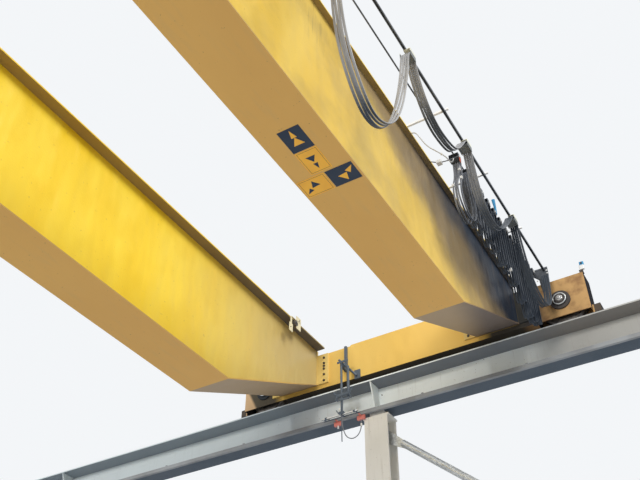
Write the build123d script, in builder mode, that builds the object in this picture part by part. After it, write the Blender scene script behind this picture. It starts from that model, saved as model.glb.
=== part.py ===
from build123d import *
from math import atan2, cos, degrees, hypot, radians, sin, tan
import os

# An overhead travelling crane with two box girders, on three bays of its own runway.
# X runs along the runway, Y along the girders and Z up. The origin is on the floor,
# in the middle of the runway.

# Runway
span = 22500.0  # from crane rail to crane rail
bay = 6000.0  # from column to column
bay_count = 3
runway_overhang = 500.0  # beam past the last column
beam_bottom = 7270.0  # height of the beam's underside
beam_web_height = 390.0
beam_web = 12.0
beam_flange = 20.0
beam_bottom_width = 300.0
beam_top_width = 560.0
stiffener = 12.0
stiffener_edge = 5.0  # set back from the flange's edge

# Columns
column_width = 360.0
column_depth = 280.0
column_flange = 18.0
column_web = 12.0
cap_plate = 25.0
cap_margin = 20.0  # to each side along the beam
bearing_block = (220.0, 200.0, 75.0)
base_plate = (560.0, 500.0, 30.0)
anchor_gauge = (460.0, 400.0)
anchor_hole = 33.0

# Wind brace in the right bay
brace_bay = 2  # counted from the left, from 0
brace_diameter = 102.0
brace_wall = 5.0
brace_top_drop = 155.0  # below the column's head
brace_angle = 39.0
gusset = 12.0
gusset_reach = 420.0
gusset_height = 260.0
gusset_slot = 90.0  # how far the tube runs over its gusset

# Crane rail
rail_height = 130.0
rail_base_width = 130.0
rail_base_edge = 14.0
rail_base_centre = 26.0
rail_web = 32.0
rail_head_width = 80.0
rail_head_depth = 38.0
rail_end_gap = 300.0  # from the beam's end to the rail's end

# End stops
stop_plate = 20.0
stop_width = 260.0
stop_rise = 640.0
stop_foot = 250.0
stop_pad = 120.0
stop_pad_diameter = 150.0

# Conductor line on the far beam
conductor_depth = 45.0
conductor_height = 55.0
conductor_bottom = 7240.0
hanger_pitch = 1500.0
hanger_size = (30.0, 24.0, 34.0)

# Girders
bridge_x = 3350.0  # middle between the girders, where the crane stands
girder_gauge = 3200.0
girder_width = 615.0
girder_bottom = 6950.0
girder_depth = 1615.0
top_flange = 20.0
top_flange_inner = 442.0  # from the girder's middle to its flange's edge on the crab's side
top_flange_outer = 360.0
bottom_flange = 15.0
girder_web = 10.0
web_inset = 12.0  # from the bottom flange's edge
haunch_start = 2320.0  # from the rail
haunch_rise = 980.0
end_plate = 30.0
end_plate_wing = 190.0
end_plate_top = 8455.0
end_plate_bottom = 7945.0

# Trucks
truck_offset = 120.0  # from the middle of the girders to the middle of the truck
truck_end = 373.5  # from a wheel's axle to the truck's end
truck_width = 300.0
truck_bottom = 7880.0
truck_height = 585.0
truck_side = 12.0
truck_cover = 15.0
housing_gap = 22.5  # from an end plate's wing to the nearest bearing housing
pocket_half = 360.0
raised_panel = 20.0
raised_corner = 30.0
raised_clear = (565.0, 40.0)  # from the left and the right girder's side to the panel
sweep_size = (110.0, 170.0, 115.0)
sweep_gap = 8.0  # over the rail

# Travel wheels
tread_radius = 293.0
tread_half = 50.0
flange_height = 22.0
flange_thickness = 25.0
rim_depth = 62.0
wheel_disc = 34.0
hub_radius = 105.0
axle_radius = 55.0
rail_seat = 0.3  # between the tread and the rail
bearing_radius = 140.0
bearing_flange = 28.0
bearing_collar_radius = 96.0
bearing_collar = 52.0
axle_clearance = 1.0
axle_end = 60.0

# Travel drives
gearbox_size = (250.0, 170.0, 330.0)
motor_radius = 105.0
motor_length = 430.0
motor_flange = 30.0

# Crab rails
crab_rail_width = 60.0
crab_rail_height = 60.0
crab_stop_rise = 220.0
crab_stop_length = 60.0

# Festoon along the right girder
track_offset = 813.0  # from the girder's middle to the outer track
inner_track_offset = 637.0
track_size = 28.0
track_wall = 3.0
track_slot = 10.0
inner_track_diameter = 18.0
arm_size = 25.0
arm_pitch = 1150.0  # over the gathered cables, and twice that further on
close_arms = 3
arm_first = 970.0  # from the end bracket to the first arm
arm_end_gap = 300.0  # from the last arm's place to the girder's end
arm_past_track = 50.0
arm_root = 250.0
saddle_radius = 62.0
saddle_width = 112.0
saddle_drop = 60.0
running_gap = 0.5  # between a trolley and its track
trolley_cheek = 5.0
trolley_head = 8.0
roller_block = (18.0, 100.0, 14.0)
drawn_gaps = (1250.0, 1480.0, 1460.0, 1630.0, 1600.0, 1600.0, 1600.0)  # from trolley to trolley
tow_gap = 1600.0  # from the last trolley to the crab's clamp
cable_width = 105.0
cable_thickness = 12.0
gathered_first = 100.0  # from the end bracket to the first hanger
gathered_pitch = 200.0
gathered_count = 12
gathered_last = 300.0  # to one more hanger
gathered_width = 110.0
gathered_drop = 75.0
hanger_cheek = 4.0
hanger_radius = 42.0
lead_radius = 7.0
end_bracket_gap = 150.0  # from the girders' ends
bracket_half = 6.0

# Collector on the far truck
mast_place = 810.0  # from the left girder's middle
mast_reach = 170.0  # from the truck's face
mast_radius = 17.0
mast_arm_drop = 405.0  # below the truck's top
mast_foot = 15.0  # below the conductor line
post_size = 40.0
collector_arm_left = 330.0  # from the mast
collector_arm_right = 260.0
collector_arm_rise = 3.0  # over the conductor line's underside
collector_arm_radius = 8.0
shoe_offsets = (-145.0, 230.0)  # from the mast
shoe_size = (120.0, 36.0, 60.0)
shoe_gap = 8.0  # under the conductor

# Crab
crab_y = -2400.0
crab_length = 2200.0
crab_beam_width = 180.0
crab_beam_depth = 300.0
crab_wheel_radius = 160.0
crab_wheel_width = 110.0
crab_wheel_gap = 0.3
crab_wheelbase = 1600.0
crab_cross_place = 620.0
crab_cross_width = 180.0
crab_drive = (300.0, 220.0, 260.0)
crab_motor_radius = 85.0
crab_motor_length = 320.0
tow_arm_size = 50.0
tow_plate = 10.0
tow_plate_width = 130.0
tow_plate_low = 190.0  # below the girder's flange

# Hoist
hoist_offset = -300.0  # from the middle between the girders
drum_radius = 250.0
drum_flange = 45.0
drum_flange_half = 12.0
drum_length = 1500.0
drum_over_deck = 375.0
drum_journal = 60.0
stand_gap = 30.0  # from the drum's end to the stand
stand_thickness = 60.0
stand_width = 320.0
stand_over_drum = 120.0
stand_foot = 60.0
equaliser = (120.0, 60.0)
gear_case = (320.0, 1050.0)
gear_case_over = 230.0
gear_case_corner = 90.0
gear_case_back = 720.0
motor_place = 540.0  # behind the crab's middle
motor_height = 330.0
motor_size = (170.0, 720.0)
rope_radius = 9.0

# Hook block
hook_height = 4300.0  # the hook's seat over the floor
sheave_pitch = 200.0
sheave_rim = 222.0
sheave_width = 56.0
sheave_place = 150.0  # to each side of the middle
sheave_axle = 40.0
cheek_thickness = 16.0
cheek_radius = 245.0
cheek_gap = 22.0
crosshead = (180.0, 120.0)
crosshead_drop = 400.0  # from the sheaves' axle to the crosshead's middle
shank_radius = 45.0
shank_length = 150.0
hook_outer = 170.0
hook_inner = 85.0
hook_shift = 22.0
hook_thickness = 90.0

# Places that follow
half_span = span / 2
beam_top = beam_bottom + beam_web_height + 2 * beam_flange
rail_top = beam_top + rail_height
runway_half = bay * bay_count / 2 + runway_overhang
rail_half = runway_half - rail_end_gap
column_places = [bay * (i - bay_count / 2) for i in range(bay_count + 1)]
column_top = beam_bottom - bearing_block[2] - cap_plate
girder_top = girder_bottom + girder_depth
web_top = girder_top - top_flange
truck_top = truck_bottom + truck_height
truck_x = bridge_x + truck_offset
wheelbase = girder_gauge + 2 * (
    girder_width / 2 + end_plate_wing + bearing_radius + truck_offset + housing_gap
)
truck_length = wheelbase + 2 * truck_end
truck_inner = half_span - truck_width / 2
truck_outer = half_span + truck_width / 2
girder_end = truck_inner - end_plate
haunch_y = half_span - haunch_start
wheel_z = rail_top + rail_seat + tread_radius
right_x = bridge_x + girder_gauge / 2
left_x = bridge_x - girder_gauge / 2
crab_rail_top = girder_top + crab_rail_height
sides = (("far", 1), ("near", -1))
girders = (("right", right_x), ("left", left_x))


def save(part, name):
    """Label a finished piece and write it under its name."""
    part.label = name
    export_step(part, f"parts/{name}.step")


def block(x, y, z, mode=Mode.ADD):
    """A plate or bar between two limits on each axis."""
    middle = ((x[0] + x[1]) / 2, (y[0] + y[1]) / 2, (z[0] + z[1]) / 2)
    with Locations(middle):
        Box(abs(x[1] - x[0]), abs(y[1] - y[0]), abs(z[1] - z[0]), mode=mode)


os.makedirs("parts", exist_ok=True)

# Columns: an H-section on a base plate, with a cap plate and a bearing block
for side_name, side in sides:
    middle_y = side * half_span
    for number, x in enumerate(column_places, 1):
        with BuildPart() as column:
            with BuildSketch(Plane.XY.offset(base_plate[2])):
                with Locations((x, middle_y)):
                    Rectangle(column_width, column_depth)
                recess = (column_width - column_web) / 2
                for way in (1, -1):
                    with Locations((x + way * (column_web + recess) / 2, middle_y)):
                        Rectangle(recess, column_depth - 2 * column_flange, mode=Mode.SUBTRACT)
            extrude(amount=column_top - base_plate[2])
            with BuildSketch(Plane.XY):
                with Locations((x, middle_y)):
                    Rectangle(base_plate[0], base_plate[1])
                    with GridLocations(anchor_gauge[0], anchor_gauge[1], 2, 2):
                        Circle(anchor_hole / 2, mode=Mode.SUBTRACT)
            extrude(amount=base_plate[2])
            with BuildSketch(Plane.XY.offset(column_top)):
                with Locations((x, middle_y)):
                    Rectangle(column_width + 2 * cap_margin, column_depth)
            extrude(amount=cap_plate)
            with BuildSketch(Plane.XY.offset(column_top + cap_plate)):
                with Locations((x, middle_y)):
                    Rectangle(bearing_block[0], bearing_block[1])
            extrude(amount=bearing_block[2])
        save(column.part, f"{side_name}_column_{number}")

# Runway beams: an I-section with a wide top flange and a pair of stiffeners over each column
for side_name, side in sides:
    middle_y = side * half_span
    web_bottom = beam_bottom + beam_flange
    with BuildPart() as beam:
        with BuildSketch(Plane.YZ.offset(-runway_half)):
            with Locations((middle_y, beam_bottom + beam_flange / 2)):
                Rectangle(beam_bottom_width, beam_flange)
            with Locations((middle_y, web_bottom + beam_web_height / 2)):
                Rectangle(beam_web, beam_web_height)
            with Locations((middle_y, beam_top - beam_flange / 2)):
                Rectangle(beam_top_width, beam_flange)
        extrude(amount=2 * runway_half)
        for x in column_places:
            for way in (1, -1):
                with BuildSketch(Plane.YZ.offset(x - stiffener / 2)):
                    Polygon(
                        (middle_y, web_bottom),
                        (middle_y + way * (beam_bottom_width / 2 - stiffener_edge), web_bottom),
                        (middle_y + way * (beam_top_width / 2 - stiffener_edge), beam_top - beam_flange),
                        (middle_y, beam_top - beam_flange),
                        align=None,
                    )
                extrude(amount=stiffener)
    save(beam.part, f"{side_name}_runway_beam")

# Crane rails: a flat-bottomed rail with a wide head
for side_name, side in sides:
    middle_y = side * half_span
    half_base, half_web, half_head = rail_base_width / 2, rail_web / 2, rail_head_width / 2
    head_under = rail_height - rail_head_depth
    half_profile = [
        (half_base, 0),
        (half_base, rail_base_edge),
        (half_web, rail_base_centre),
        (half_web, head_under - 8),
        (half_head, head_under),
        (half_head, rail_height - 8),
        (half_head - 8, rail_height),
    ]
    with BuildPart() as rail:
        with BuildSketch(Plane.YZ.offset(-rail_half)):
            Polygon(
                *[(middle_y + a, beam_top + b) for a, b in half_profile],
                *[(middle_y - a, beam_top + b) for a, b in reversed(half_profile)],
                align=None,
            )
        extrude(amount=2 * rail_half)
    save(rail.part, f"{side_name}_crane_rail")

# End stops: an upright plate with two gussets behind it and a rubber pad in front
stop_face = rail_half + 20
pad_z = truck_bottom + truck_height / 2
for side_name, side in sides:
    middle_y = side * half_span
    for end_name, way in (("left", -1), ("right", 1)):
        with BuildPart() as stop:
            with BuildSketch(Plane.XY.offset(beam_top)):
                with Locations((way * (stop_face + stop_foot / 2), middle_y)):
                    Rectangle(stop_foot, stop_width)
            extrude(amount=stop_plate)
            with BuildSketch(Plane.XY.offset(beam_top)):
                with Locations((way * (stop_face + stop_plate / 2), middle_y)):
                    Rectangle(stop_plate, stop_width)
            extrude(amount=stop_rise)
            for across in (1, -1):
                gusset_y = middle_y + across * (stop_width / 2 - 3 * stop_plate / 2)
                with BuildSketch(Plane.XZ.offset(-gusset_y)):
                    Polygon(
                        (way * (stop_face + stop_plate / 2), beam_top),
                        (way * (stop_face + stop_foot), beam_top),
                        (way * (stop_face + stop_foot), beam_top + 2 * stop_plate),
                        (way * (stop_face + 2 * stop_plate), beam_top + stop_rise),
                        (way * (stop_face + stop_plate / 2), beam_top + stop_rise),
                        align=None,
                    )
                extrude(amount=stop_plate / 2, both=True)
            with BuildSketch(Plane.YZ.offset(way * stop_face)):
                with Locations((middle_y, pad_z)):
                    Circle(stop_pad_diameter / 2)
            extrude(amount=-way * stop_pad)
        save(stop.part, f"{side_name}_{end_name}_stop")

# Wind braces: one tube in the right bay, slotted over a gusset at each column
brace_left = column_places[brace_bay]
brace_right = column_places[brace_bay + 1]
brace_run = brace_right - brace_left
brace_high = column_top - brace_top_drop
brace_low = brace_high - brace_run * tan(radians(brace_angle))
slope = radians(brace_angle)
tube_start = gusset_reach - gusset_slot
for side_name, side in sides:
    middle_y = side * half_span
    start = (brace_left + tube_start, brace_high - tube_start * tan(slope))
    stop_x = brace_right - tube_start
    length = (stop_x - start[0]) / cos(slope)
    axis_plane = Plane(
        origin=(start[0], middle_y, start[1]), x_dir=(0, 1, 0), z_dir=(cos(slope), 0, -sin(slope))
    )
    with BuildPart() as brace:
        with BuildSketch(axis_plane):
            Circle(brace_diameter / 2)
            Circle(brace_diameter / 2 - brace_wall, mode=Mode.SUBTRACT)
        extrude(amount=length)
        for x, z, way in ((brace_left, brace_high, 1), (brace_right, brace_low, -1)):
            near_x = x + way * column_web / 2
            far_x = x + way * gusset_reach
            far_z = z - way * gusset_reach * tan(slope)
            half = gusset_height / 2
            with BuildSketch(Plane.XZ.offset(-middle_y)):
                Polygon(
                    (near_x, z - way * 40 - half),
                    (far_x, far_z - brace_diameter / 2 + brace_wall),
                    (far_x, far_z + brace_diameter / 2 - brace_wall),
                    (near_x, z - way * 40 + half),
                    align=None,
                )
            extrude(amount=gusset / 2, both=True)
    save(brace.part, f"{side_name}_brace")

# Conductor line: a box rail along the inner edge of the far beam's bottom flange, with hangers
flange_inner = half_span - beam_bottom_width / 2
with BuildPart() as conductor:
    block(
        (-runway_half, runway_half),
        (flange_inner - conductor_depth, flange_inner),
        (conductor_bottom, conductor_bottom + conductor_height),
    )
    hanger_count = int(2 * runway_half / hanger_pitch)
    for i in range(hanger_count):
        x = (i - (hanger_count - 1) / 2) * hanger_pitch
        block(
            (x - hanger_size[0] / 2, x + hanger_size[0] / 2),
            (flange_inner - hanger_size[1], flange_inner + hanger_size[1]),
            (beam_bottom + beam_flange, beam_bottom + beam_flange + hanger_size[2]),
        )
save(conductor.part, "conductor_line")

# Girders: two webs between a wide top flange and a bottom flange that rises at both ends
haunch_top = girder_bottom + haunch_rise
haunch_slope = atan2(haunch_rise, girder_end - haunch_y)
sloped_up = bottom_flange / cos(haunch_slope)
bend_shift = bottom_flange * tan(haunch_slope / 2)
bottom_outside = [
    (-girder_end, haunch_top),
    (-haunch_y, girder_bottom),
    (haunch_y, girder_bottom),
    (girder_end, haunch_top),
]
bottom_inside = [
    (girder_end, haunch_top + sloped_up),
    (haunch_y - bend_shift, girder_bottom + bottom_flange),
    (-haunch_y + bend_shift, girder_bottom + bottom_flange),
    (-girder_end, haunch_top + sloped_up),
]
web_outline = bottom_inside + [(-girder_end, web_top), (girder_end, web_top)]
for girder_name, x in girders:
    outward = 1 if x > bridge_x else -1
    with BuildPart() as top:
        block(
            (x - outward * top_flange_inner, x + outward * top_flange_outer),
            (-girder_end, girder_end),
            (web_top, girder_top),
        )
    save(top.part, f"{girder_name}_top_flange")
    with BuildPart() as bottom:
        with BuildSketch(Plane.YZ.offset(x)):
            Polygon(*bottom_outside, *bottom_inside, align=None)
        extrude(amount=girder_width / 2, both=True)
    save(bottom.part, f"{girder_name}_bottom_flange")
    with BuildPart() as webs:
        for way in (1, -1):
            web_face = x + way * (girder_width / 2 - web_inset)
            with BuildSketch(Plane.YZ.offset(web_face)):
                Polygon(*web_outline, align=None)
            extrude(amount=-way * girder_web)
    save(webs.part, f"{girder_name}_webs")

# End plates: they close the girders' ends, with a bolted wing on each side
for side_name, side in sides:
    with BuildPart() as plates:
        for girder_name, x in girders:
            half_box = girder_width / 2
            half_wing = half_box + end_plate_wing
            with BuildSketch(Plane.XZ.offset(-side * girder_end)):
                Polygon(
                    (x - half_wing, end_plate_bottom),
                    (x + half_wing, end_plate_bottom),
                    (x + half_wing, end_plate_top),
                    (x + half_box, end_plate_top),
                    (x + half_box, web_top),
                    (x - half_box, web_top),
                    (x - half_box, end_plate_top),
                    (x - half_wing, end_plate_top),
                    align=None,
                )
            extrude(amount=-side * end_plate)
    save(plates.part, f"{side_name}_end_plates")

# Trucks: two side plates with bearing housings, a top and bottom cover, and the wheels' pockets
truck_half = truck_length / 2
wheel_places = [("left", truck_x - wheelbase / 2), ("right", truck_x + wheelbase / 2)]
raised_from = left_x + girder_width / 2 + raised_clear[0]
raised_to = right_x - girder_width / 2 - raised_clear[1]
for side_name, side in sides:
    for face_name, face, outward in (("inner", truck_inner, -1), ("outer", truck_outer, 1)):
        with BuildPart() as plate:
            with BuildSketch(Plane.XZ.offset(-side * face)):
                with Locations((truck_x, truck_bottom + truck_height / 2)):
                    Rectangle(truck_length, truck_height)
                if face_name == "inner":
                    panel_height = 4 * raised_corner
                    panel_z = truck_top + raised_panel - panel_height / 2
                    with Locations(((raised_from + raised_to) / 2, panel_z)):
                        RectangleRounded(raised_to - raised_from, panel_height, raised_corner)
                for wheel_name, x in wheel_places:
                    with Locations((x, wheel_z)):
                        Circle(axle_radius + axle_clearance, mode=Mode.SUBTRACT)
            extrude(amount=side * outward * truck_side)
            for wheel_name, x in wheel_places:
                for radius, depth in (
                    (bearing_radius, bearing_flange),
                    (bearing_collar_radius, bearing_collar),
                ):
                    with BuildSketch(Plane.XZ.offset(-side * face)):
                        with Locations((x, wheel_z)):
                            Circle(radius)
                            Circle(axle_radius + axle_clearance, mode=Mode.SUBTRACT)
                    extrude(amount=-side * outward * depth)
        save(plate.part, f"{side_name}_truck_{face_name}_side")
    inside = (side * (truck_inner + truck_side), side * (truck_outer - truck_side))
    pocket_start = wheelbase / 2 - pocket_half
    with BuildPart() as covers:
        block((truck_x - truck_half, truck_x + truck_half), inside, (truck_top - truck_cover, truck_top))
        block(
            (truck_x - pocket_start, truck_x + pocket_start),
            inside,
            (truck_bottom, truck_bottom + truck_cover),
        )
        for way in (1, -1):
            wall = truck_x + way * pocket_start
            block((wall, wall - way * truck_side), inside, (truck_bottom, truck_top))
            end = truck_x + way * truck_half
            block((end, end - way * truck_side), inside, (truck_bottom, truck_top))
            block(
                (end, end + way * sweep_size[0]),
                (side * half_span - sweep_size[1] / 2, side * half_span + sweep_size[1] / 2),
                (rail_top + sweep_gap, rail_top + sweep_gap + sweep_size[2]),
            )
    save(covers.part, f"{side_name}_truck_covers")

# Travel wheels: a double-flanged wheel turned in one piece with its axle
for side_name, side in sides:
    for wheel_name, x in wheel_places:
        flange_outer = tread_half + flange_thickness
        disc = wheel_disc / 2
        axle_reach = truck_width / 2 + axle_end
        centre = (x, side * half_span, wheel_z)
        with BuildPart() as wheel:
            with BuildSketch(Plane(origin=centre, x_dir=(1, 0, 0), z_dir=(0, 0, 1))):
                Polygon(
                    (0, -axle_reach),
                    (axle_radius, -axle_reach),
                    (axle_radius, -flange_outer),
                    (hub_radius, -flange_outer),
                    (hub_radius, -disc),
                    (tread_radius - rim_depth, -disc),
                    (tread_radius - rim_depth, -flange_outer),
                    (tread_radius + flange_height, -flange_outer),
                    (tread_radius + flange_height, -flange_outer + 15),
                    (tread_radius, -tread_half),
                    (tread_radius, tread_half),
                    (tread_radius + flange_height, flange_outer - 15),
                    (tread_radius + flange_height, flange_outer),
                    (tread_radius - rim_depth, flange_outer),
                    (tread_radius - rim_depth, disc),
                    (hub_radius, disc),
                    (hub_radius, flange_outer),
                    (axle_radius, flange_outer),
                    (axle_radius, axle_reach),
                    (0, axle_reach),
                    align=None,
                )
            revolve(axis=Axis(centre, (0, 1, 0)))
        save(wheel.part, f"{side_name}_{wheel_name}_wheel")

# Travel drives: a gear case on each right wheel's outer housing, with its motor along the truck
drive_x = wheel_places[1][1]
for side_name, side in sides:
    case_y = side * (truck_outer + axle_end + 8)
    case_middle = case_y + side * gearbox_size[1] / 2
    with BuildPart() as drive:
        with BuildSketch(Plane.XZ.offset(-case_y)):
            with Locations((drive_x, wheel_z - 40)):
                RectangleRounded(gearbox_size[0], gearbox_size[2], 40)
        extrude(amount=-side * gearbox_size[1])
        with BuildSketch(Plane.XZ.offset(-side * (truck_outer + bearing_collar))):
            with Locations((drive_x, wheel_z)):
                Circle(bearing_radius - 10)
                Circle(axle_radius + 6, mode=Mode.SUBTRACT)
        extrude(amount=-side * (axle_end + 8 - bearing_collar))
        with BuildSketch(Plane.YZ.offset(drive_x - gearbox_size[0] / 2 + 1)):
            with Locations((case_middle, wheel_z - 60)):
                Circle(motor_radius + 12)
        extrude(amount=-motor_flange)
        with BuildSketch(Plane.YZ.offset(drive_x - gearbox_size[0] / 2 + 1 - motor_flange)):
            with Locations((case_middle, wheel_z - 60)):
                Circle(motor_radius)
        extrude(amount=-motor_length)
    save(drive.part, f"{side_name}_travel_drive")

# Crab rails: a flat bar on each top flange, with a stop at each end
crab_rail_half = girder_end - 250
for girder_name, x in girders:
    with BuildPart() as bar:
        half = crab_rail_width / 2
        block((x - half, x + half), (-crab_rail_half, crab_rail_half), (girder_top, crab_rail_top))
        for way in (1, -1):
            end = way * crab_rail_half
            block(
                (x - 2 * half, x + 2 * half),
                (end, end - way * crab_stop_length),
                (girder_top, crab_rail_top + crab_stop_rise),
            )
    save(bar.part, f"{girder_name}_crab_rail")

# Festoon track: an open-bottomed rail that hangs below its arms
track_x = right_x + track_offset
inner_x = right_x + inner_track_offset
track_top = girder_top
track_bottom = track_top - track_size
end_bracket_y = girder_end - end_bracket_gap
track_half = end_bracket_y - bracket_half
half_track, half_slot = track_size / 2, track_slot / 2
with BuildPart() as track:
    with BuildSketch(Plane.XZ.offset(track_half)):
        with Locations((track_x, track_top - half_track)):
            Rectangle(track_size, track_size)
            Rectangle(track_size - 2 * track_wall, track_size - 2 * track_wall, mode=Mode.SUBTRACT)
        with Locations((track_x, track_bottom)):
            Rectangle(track_slot, 4 * track_wall, mode=Mode.SUBTRACT)
    extrude(amount=-2 * track_half)
save(track.part, "festoon_track")

with BuildPart() as inner_track:
    with BuildSketch(Plane.XZ.offset(track_half)):
        with Locations((inner_x, track_top - inner_track_diameter / 2)):
            Circle(inner_track_diameter / 2)
    extrude(amount=-2 * track_half)
save(inner_track.part, "festoon_inner_track")

# Festoon arms: square bars from the right girder's top flange out over both tracks
arm_places = [end_bracket_y - arm_first - i * arm_pitch for i in range(close_arms)]
while arm_places[-1] - 2 * arm_pitch > arm_end_gap - girder_end:
    arm_places.append(arm_places[-1] - 2 * arm_pitch)
with BuildPart() as arms:
    for y in arm_places:
        block(
            (right_x + arm_root, track_x + arm_past_track),
            (y - arm_size / 2, y + arm_size / 2),
            (girder_top, girder_top + arm_size),
        )
save(arms.part, "festoon_arms")

# Cable trolleys: a roller block in the track, a tall and a low cheek and a round saddle between
trolley_places = [end_bracket_y - sum(drawn_gaps[: i + 1]) for i in range(len(drawn_gaps))]
saddle_z = track_bottom - saddle_drop - saddle_radius / 2
head_top = track_bottom - running_gap
with BuildPart() as trolleys:
    for y in trolley_places:
        along = (y - saddle_radius, y + saddle_radius)
        for way, cheek_top in ((1, head_top), (-1, saddle_z + saddle_radius)):
            cheek = track_x + way * saddle_width / 2
            block((cheek, cheek + way * trolley_cheek), along, (saddle_z - 20, cheek_top))
        block(
            (track_x - roller_block[0], track_x + saddle_width / 2 + trolley_cheek),
            along,
            (head_top - trolley_head, head_top),
        )
        lip_top = track_bottom + track_wall + running_gap
        block(
            (track_x - track_slot / 2 + 2, track_x + track_slot / 2 - 2),
            (y - 30, y + 30),
            (head_top, lip_top),
        )
        block(
            (track_x - roller_block[0] / 2, track_x + roller_block[0] / 2),
            (y - roller_block[1] / 2, y + roller_block[1] / 2),
            (lip_top, lip_top + roller_block[2]),
        )
        with BuildSketch(Plane.YZ.offset(track_x)):
            with Locations((y, saddle_z)):
                Circle(saddle_radius)
            with Locations((y, saddle_z - saddle_radius)):
                Rectangle(2 * saddle_radius, 2 * saddle_radius, mode=Mode.SUBTRACT)
        extrude(amount=saddle_width / 2, both=True)
save(trolleys.part, "festoon_trolleys")

# Festoon end bracket: one more arm over the tracks, with a plate under it for the clamps
with BuildPart() as bracket:
    block(
        (right_x + arm_root, track_x + arm_past_track),
        (end_bracket_y - arm_size / 2, end_bracket_y + arm_size / 2),
        (girder_top, girder_top + arm_size),
    )
    with BuildSketch(Plane.XZ.offset(-end_bracket_y)):
        Polygon(
            (inner_x, girder_top),
            (track_x + arm_past_track, girder_top),
            (track_x + arm_past_track, girder_top - 110),
            (track_x, girder_top - 360),
            (track_x - 75, girder_top - 360),
            (track_x - 90, girder_top - 150),
            (inner_x, girder_top - 60),
            align=None,
        )
    extrude(amount=bracket_half, both=True)
save(bracket.part, "festoon_end_bracket")

# Gathered hangers: small round saddles clipped under the inner track
gathered_places = [end_bracket_y - gathered_first - i * gathered_pitch for i in range(gathered_count)]
gathered_places.append(gathered_places[-1] - gathered_last)
inner_track_bottom = track_top - inner_track_diameter
hanger_z = inner_track_bottom - gathered_drop
with BuildPart() as hangers:
    for y in gathered_places:
        along = (y - hanger_radius, y + hanger_radius)
        for way in (1, -1):
            cheek = inner_x + way * gathered_width / 2
            block((cheek, cheek + way * hanger_cheek), along, (hanger_z - 10, inner_track_bottom - 8))
        outer = gathered_width / 2 + hanger_cheek
        block((inner_x - outer, inner_x + outer), along, (inner_track_bottom - 8, inner_track_bottom))
        with BuildSketch(Plane.YZ.offset(inner_x)):
            with Locations((y, hanger_z)):
                Circle(hanger_radius)
            with Locations((y, hanger_z - hanger_radius)):
                Rectangle(2 * hanger_radius, 2 * hanger_radius, mode=Mode.SUBTRACT)
        extrude(amount=gathered_width / 2, both=True)
save(hangers.part, "festoon_hangers")


def corner_radii(points):
    """A radius for each corner of a cord's route: 0.45 of the shorter run beside it, over the
    tangent of half its turn."""
    places = [Vector(*p) for p in points]
    runs = [b - a for a, b in zip(places, places[1:])]
    radii = []
    for before, after in zip(runs, runs[1:]):
        half_turn = radians(before.get_angle(after)) / 2
        radii.append(0.45 * min(before.length, after.length) / tan(half_turn))
    return radii


def cord(name, points, section):
    """A free cord: its section is swept along straight runs joined by tangent arcs."""
    radii = corner_radii(points)
    with BuildPart() as solid:
        with BuildLine() as route:
            FilletPolyline(*points, radius=radii)
        start, ahead = route.line @ 0, route.line % 0
        with BuildSketch(Plane(origin=start, x_dir=ahead.cross(Vector(*section[0])), z_dir=ahead)):
            if len(section) == 2:
                Circle(section[1])
            else:
                Rectangle(section[1], section[2])
        sweep()
    print(name, "runs", len(points) - 1, "smallest radius", round(min(radii)))
    save(solid.part, name)


# Drawn cable: one bundle of flat cables hangs in loops from trolley to trolley, to the crab
saddle_over = saddle_z + saddle_radius + cable_thickness / 2
turn = saddle_radius + cable_thickness / 2
close_loops = [
    [(40, -300), (140, -620), (380, -840), (740, -860), (1000, -660), (1120, -300)],
    [(80, -120), (360, -460), (660, -740), (980, -820), (1200, -640), (1310, -280)],
    [(100, -160), (360, -500), (620, -600), (900, -610), (1120, -460), (1280, -200)],
]  # the first three loops, from one saddle's edge towards the next one, and down
long_loop = [
    (80, -500),
    (290, -1200),
    (560, -1740),
    (880, -1940),
    (1140, -1740),
    (1370, -1300),
    (1460, -600),
]
long_span = 1494.0
clamp_y = end_bracket_y - 20
tow_y = trolley_places[-1] - tow_gap
stations = [clamp_y] + trolley_places + [tow_y]
drawn_route = [(track_x, clamp_y, saddle_over - 60)]
for number, (here, following) in enumerate(zip(stations, stations[1:])):
    left = here - (turn if here != clamp_y else 0)
    right = following + (turn if following != tow_y else 0)
    if number < len(close_loops):
        loop, stretch = close_loops[number], 1
    else:
        loop, stretch = long_loop, (left - right) / long_span
    for across, down in loop:
        drawn_route.append((track_x, left - across * stretch, saddle_over + down))
    if following != tow_y:
        drawn_route.append((track_x, following + turn, saddle_over))
        drawn_route.append((track_x, following - turn, saddle_over))
drawn_route.append((track_x, tow_y, saddle_over - 60))
cord("festoon_drawn_cable", drawn_route, ((1, 0, 0), cable_thickness, cable_width))

# Gathered cable: the same kind of cable in narrow loops under the inner track
hanger_over = hanger_z + hanger_radius + cable_thickness / 2
hanger_turn = hanger_radius + cable_thickness / 2
narrow_loop = [
    (12, -330),
    (-4, -560),
    (-2, -690),
    (6, -762),
    (32, -793),
    (72, -793),
    (98, -762),
    (106, -690),
    (108, -560),
    (92, -330),
]
open_loop = [(30, -250), (-60, -520), (-60, -760), (120, -900), (320, -780), (340, -520), (200, -250)]
extras = (130, 210, 255, 145, 15, -55, -25, -80, -40, -70, -45)  # depth of each narrow loop
gathered_route = [(inner_x, gathered_places[0] - hanger_turn, hanger_over - 10)]
for number, (here, following) in enumerate(zip(gathered_places, gathered_places[1:])):
    loop, extra = (narrow_loop, extras[number]) if number < len(extras) else (open_loop, 0)
    for across, down in loop:
        lower = extra if down < -500 else extra / 2
        gathered_route.append((inner_x, here - hanger_turn - across, hanger_over + down - lower))
    if following != gathered_places[-1]:
        gathered_route.append((inner_x, following + hanger_turn, hanger_over))
        gathered_route.append((inner_x, following - hanger_turn, hanger_over))
gathered_route.append((inner_x, gathered_places[-1] + hanger_turn, hanger_over - 10))
cord("festoon_gathered_cable", gathered_route, ((1, 0, 0), cable_thickness, gathered_width))

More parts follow.
